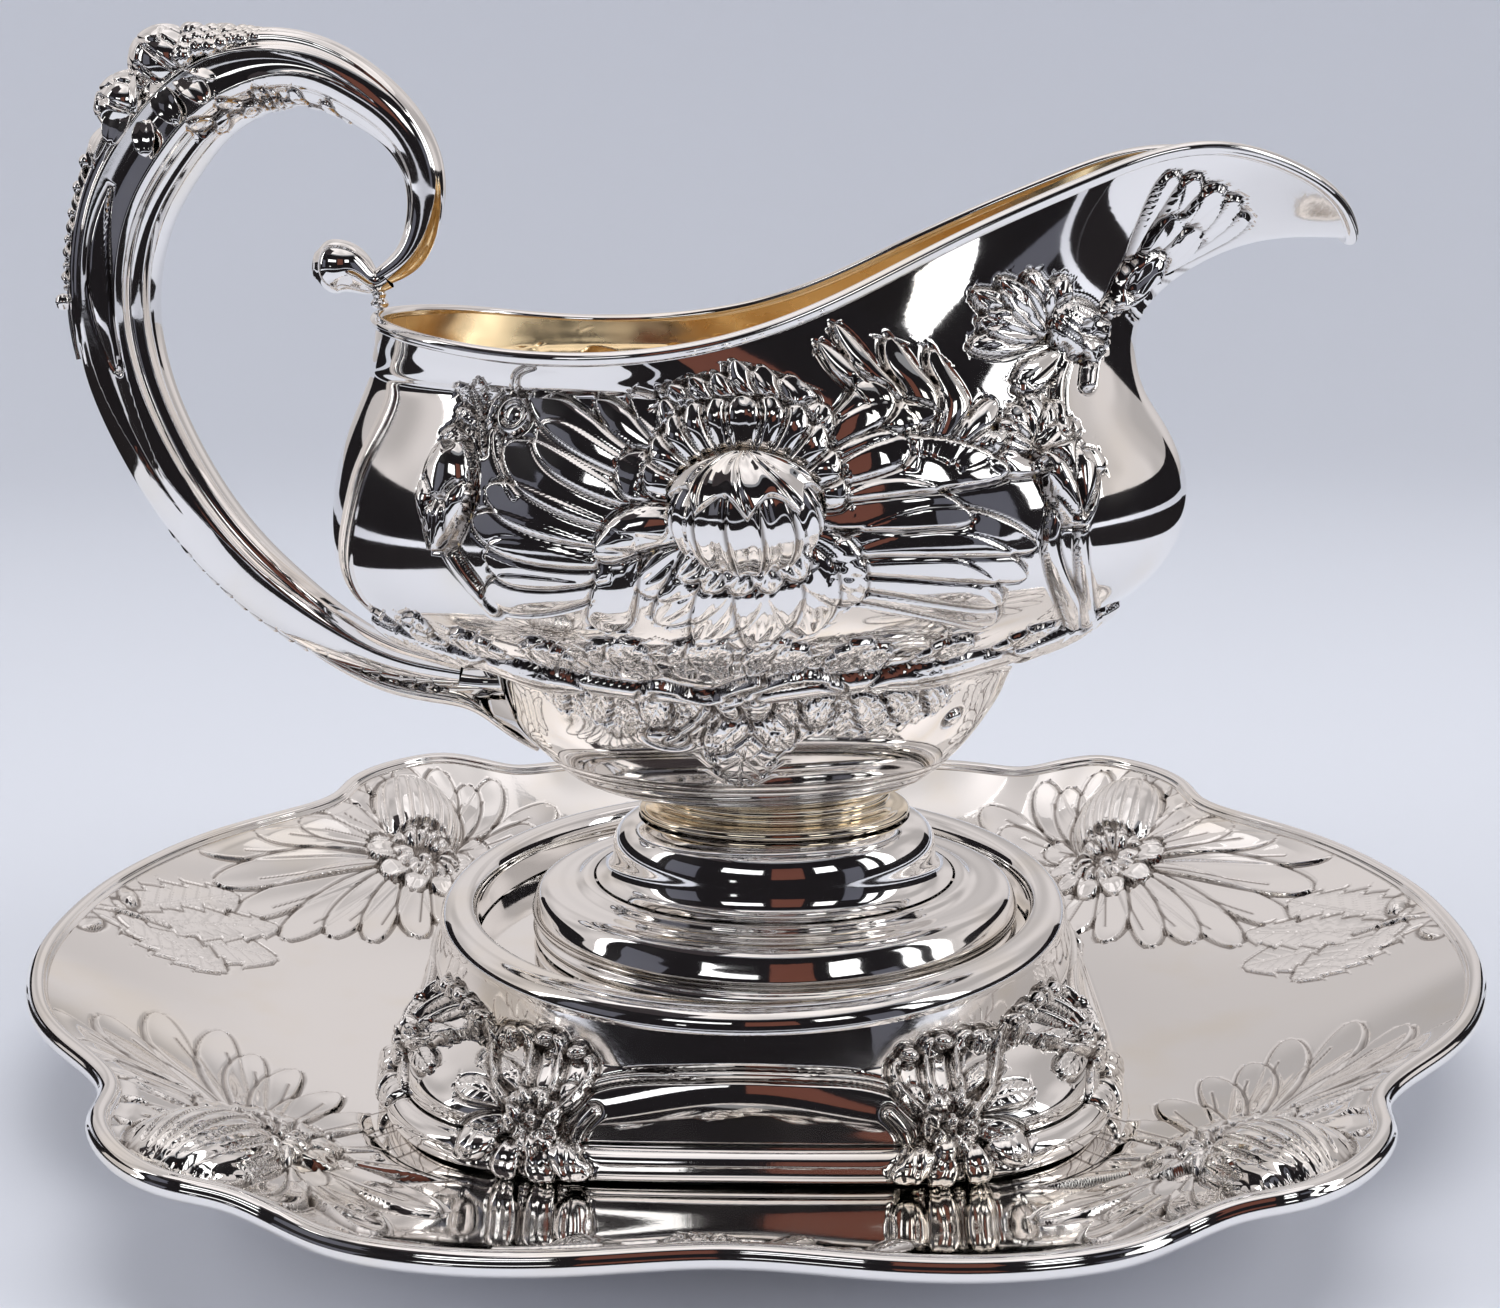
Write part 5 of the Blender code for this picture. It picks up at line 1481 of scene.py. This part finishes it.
def plain_material(name, colour, roughness):
    """A dull surface with a faint uneven tone and no shine."""
    mat, nodes, links = new_material(name)
    shader = nodes["Principled BSDF"]
    shader.inputs["Specular IOR Level"].default_value = 0.0
    shader.inputs["Roughness"].default_value = roughness
    coords = nodes.new("ShaderNodeTexCoord")
    cloud = noise(nodes, links, coords, 3.0, 2.0)
    tone = mixed(nodes, links, cloud, colour, tuple(c * 0.97 for c in colour))
    links.new(tone, shader.inputs["Base Color"])
    return mat


def add_floor():
    """A sheet that curves up all round, as radius and height."""
    profile = [
        (0.01, 0.0), (700.0, 0.0), (900.0, 15.0), (1100.0, 90.0), (1300.0, 300.0),
        (1380.0, 600.0), (1400.0, 1000.0),
    ]
    grid = lathe_grid(profile, 160, 180)
    obj = grid_mesh("studio_floor", grid, grid_normals(grid, True), closed=True)
    obj.data.materials.append(plain_material("pale_paper", (0.72, 0.735, 0.79), 0.65))


def add_light(name, place, aim, size, power):
    light = bpy.data.lights.new(name, "AREA")
    light.shape = "RECTANGLE"
    light.size, light.size_y = size
    light.energy = power
    obj = bpy.data.objects.new(name, light)
    bpy.context.scene.collection.objects.link(obj)
    obj.rotation_euler = (Vector(place) - Vector(aim)).to_track_quat("Z", "Y").to_euler()
    obj.location = place


def glow_material(name, colour, strength):
    """A light surface, a little uneven."""
    mat, nodes, links = new_material(name)
    shader = nodes["Principled BSDF"]
    shader.inputs["Base Color"].default_value = (0.0, 0.0, 0.0, 1.0)
    shader.inputs["Roughness"].default_value = 1.0
    shader.inputs["Emission Color"].default_value = (*colour, 1.0)
    coords = nodes.new("ShaderNodeTexCoord")
    cloud = noise(nodes, links, coords, 2.0, 1.0)
    level = ranged(nodes, links, cloud, 0.35, 0.65, strength * 0.72, strength * 1.15)
    links.new(level, shader.inputs["Emission Strength"])
    return mat


def add_shell(name, radius, turn, rise, material):
    """Part of a sphere round the object, seen only in reflections. Angles in degrees:
    turn from the camera's side, rise above the table."""
    side = np.radians(np.linspace(*turn, 60))[None, :]
    climb = np.radians(np.linspace(*rise, 24))[:, None]
    x = radius * np.cos(climb) * np.sin(side)
    y = -radius * np.cos(climb) * np.cos(side)
    z = radius * np.sin(climb) + 0 * side + 40.0
    points = np.stack([x, y, z], axis=-1)
    hide_from_camera(grid_mesh(name, points, grid_normals(points, False)), material)


def add_dark_floor(name, side, depth, material):
    """Part of the room round the table, seen only in reflections. Ranges in mm."""
    x = np.linspace(*side, 12)[None, :]
    y = np.linspace(*depth, 12)[:, None]
    points = np.stack([x + 0 * y, y + 0 * x, 4.0 + 0 * x * y], axis=-1)
    normals = np.zeros_like(points)
    normals[..., 2] = 1.0
    hide_from_camera(grid_mesh(name, points, normals), material)


def hide_from_camera(obj, material):
    """Leave a piece to reflections alone: it isn't seen, casts no shadow and lights nothing dull."""
    obj.data.materials.append(material)
    obj.visible_camera = False
    obj.visible_diffuse = False
    obj.visible_shadow = False


TOP_POWER, LEFT_POWER, RIGHT_POWER = 7.5, 4.6, 4.6
# Bright windows in the dark room: turn and rise, in degrees
WINDOWS = [
    ("window_wide", (-30, -6), (27, 36)), ("window_right", (24, 37), (26, 38)),
    ("window_small", (-23, -20), (8, 12)), ("window_side", (56, 64), (14, 40)),
]


def add_studio():
    add_floor()
    # The near-black and dim cards stand for the unlit parts of the room: painted shade, seen only in the
    # reflections.
    dark = plain_material("dark_room", (0.016, 0.014, 0.015), 0.9)
    dusk = plain_material("dusk_card", (0.055, 0.045, 0.045), 0.9)
    brown = plain_material("brown_card", (0.17, 0.065, 0.045), 0.9)
    grey = plain_material("grey_card", (0.13, 0.13, 0.15), 0.9)
    window = glow_material("window", (0.95, 0.97, 1.0), 1.7)
    ceiling = glow_material("ceiling", (1.0, 0.955, 0.955), 0.94)
    backdrop = glow_material("backdrop", (1.0, 0.945, 0.94), 0.60)
    add_shell("dark_shell", 960.0, (-74, 70), (-4, 54), dark)
    add_shell("dark_low_left", 955.0, (-138, -74), (-4, 13), dark)
    add_shell("dark_low_right", 955.0, (70, 138), (-4, 13), dark)
    add_shell("dusk_left", 950.0, (-86, -30), (50, 71), dusk)
    add_shell("grey_left", 900.0, (-66, -44), (6, 30), grey)
    add_shell("grey_right", 905.0, (40, 52), (0, 26), grey)
    add_shell("brown_patch", 890.0, (-1, 17), (17, 40), brown)
    for name, turn, rise in WINDOWS:
        add_shell(name, 880.0, turn, rise, window)
    add_dark_floor("room_floor_front", (-860.0, 860.0), (-920.0, -330.0), dark)
    add_dark_floor("room_floor_left", (-900.0, -330.0), (-329.0, 620.0), dark)
    add_dark_floor("room_floor_right", (330.0, 900.0), (-329.0, 620.0), dark)
    add_shell("ceiling_shell", 1000.0, (-180, 180), (58, 89.9), ceiling)
    add_shell("back_shell", 1050.0, (80, 280), (2, 58), backdrop)
    add_light("top_softbox", (0.05, 0.1, 1.1), (0, 0, 0.05), (1.1, 0.8), TOP_POWER)
    add_light("left_softbox", (-1.0, -0.35, 0.6), (0, 0, 0.08), (0.7, 0.9), LEFT_POWER)
    add_light("right_softbox", (1.05, -0.2, 0.6), (0, 0, 0.08), (0.6, 0.9), RIGHT_POWER)
    world = bpy.data.worlds.new("soft_room")
    bpy.context.scene.world = world
    world.use_nodes = True
    shade = world.node_tree.nodes["Background"]
    shade.inputs["Color"].default_value = (0.80, 0.83, 0.90, 1.0)
    shade.inputs["Strength"].default_value = 0.30
    bpy.context.scene.view_settings.view_transform = "Standard"


LENS = 46.24
CAMERA_PITCH = 0.2453
CAMERA_ROLL = -0.0059
CAMERA_TURN = 0.03236
CAMERA_SHIFT = -0.0066
CAMERA_SPOT = (0.0015, -0.34674, 0.1605)


def add_camera():
    """The camera in front of the object, turned about the vertical axis and tipped down."""
    cam = bpy.data.cameras.new("camera")
    cam.sensor_width = 36.0
    cam.sensor_fit = "HORIZONTAL"
    cam.lens = LENS
    cam.clip_start = 0.01
    cam.shift_x = CAMERA_SHIFT
    obj = bpy.data.objects.new("camera", cam)
    bpy.context.scene.collection.objects.link(obj)
    tilt = Matrix.Rotation(math.pi / 2 - CAMERA_PITCH, 4, "X") @ Matrix.Rotation(CAMERA_ROLL, 4, "Z")
    turn = Matrix.Rotation(CAMERA_TURN, 4, "Z")
    obj.matrix_world = turn @ Matrix.Translation(CAMERA_SPOT) @ tilt
    bpy.context.scene.camera = obj


# ---------------------------------------------------------------- build

add_camera()
add_studio()
add_tray()
add_border()
add_base_roll()
add_drum()
add_well()
add_foot()
add_bowl()
add_handle()
add_scroll_end()
add_foot_plate()
add_handle_flowers()
add_leaf_trail()
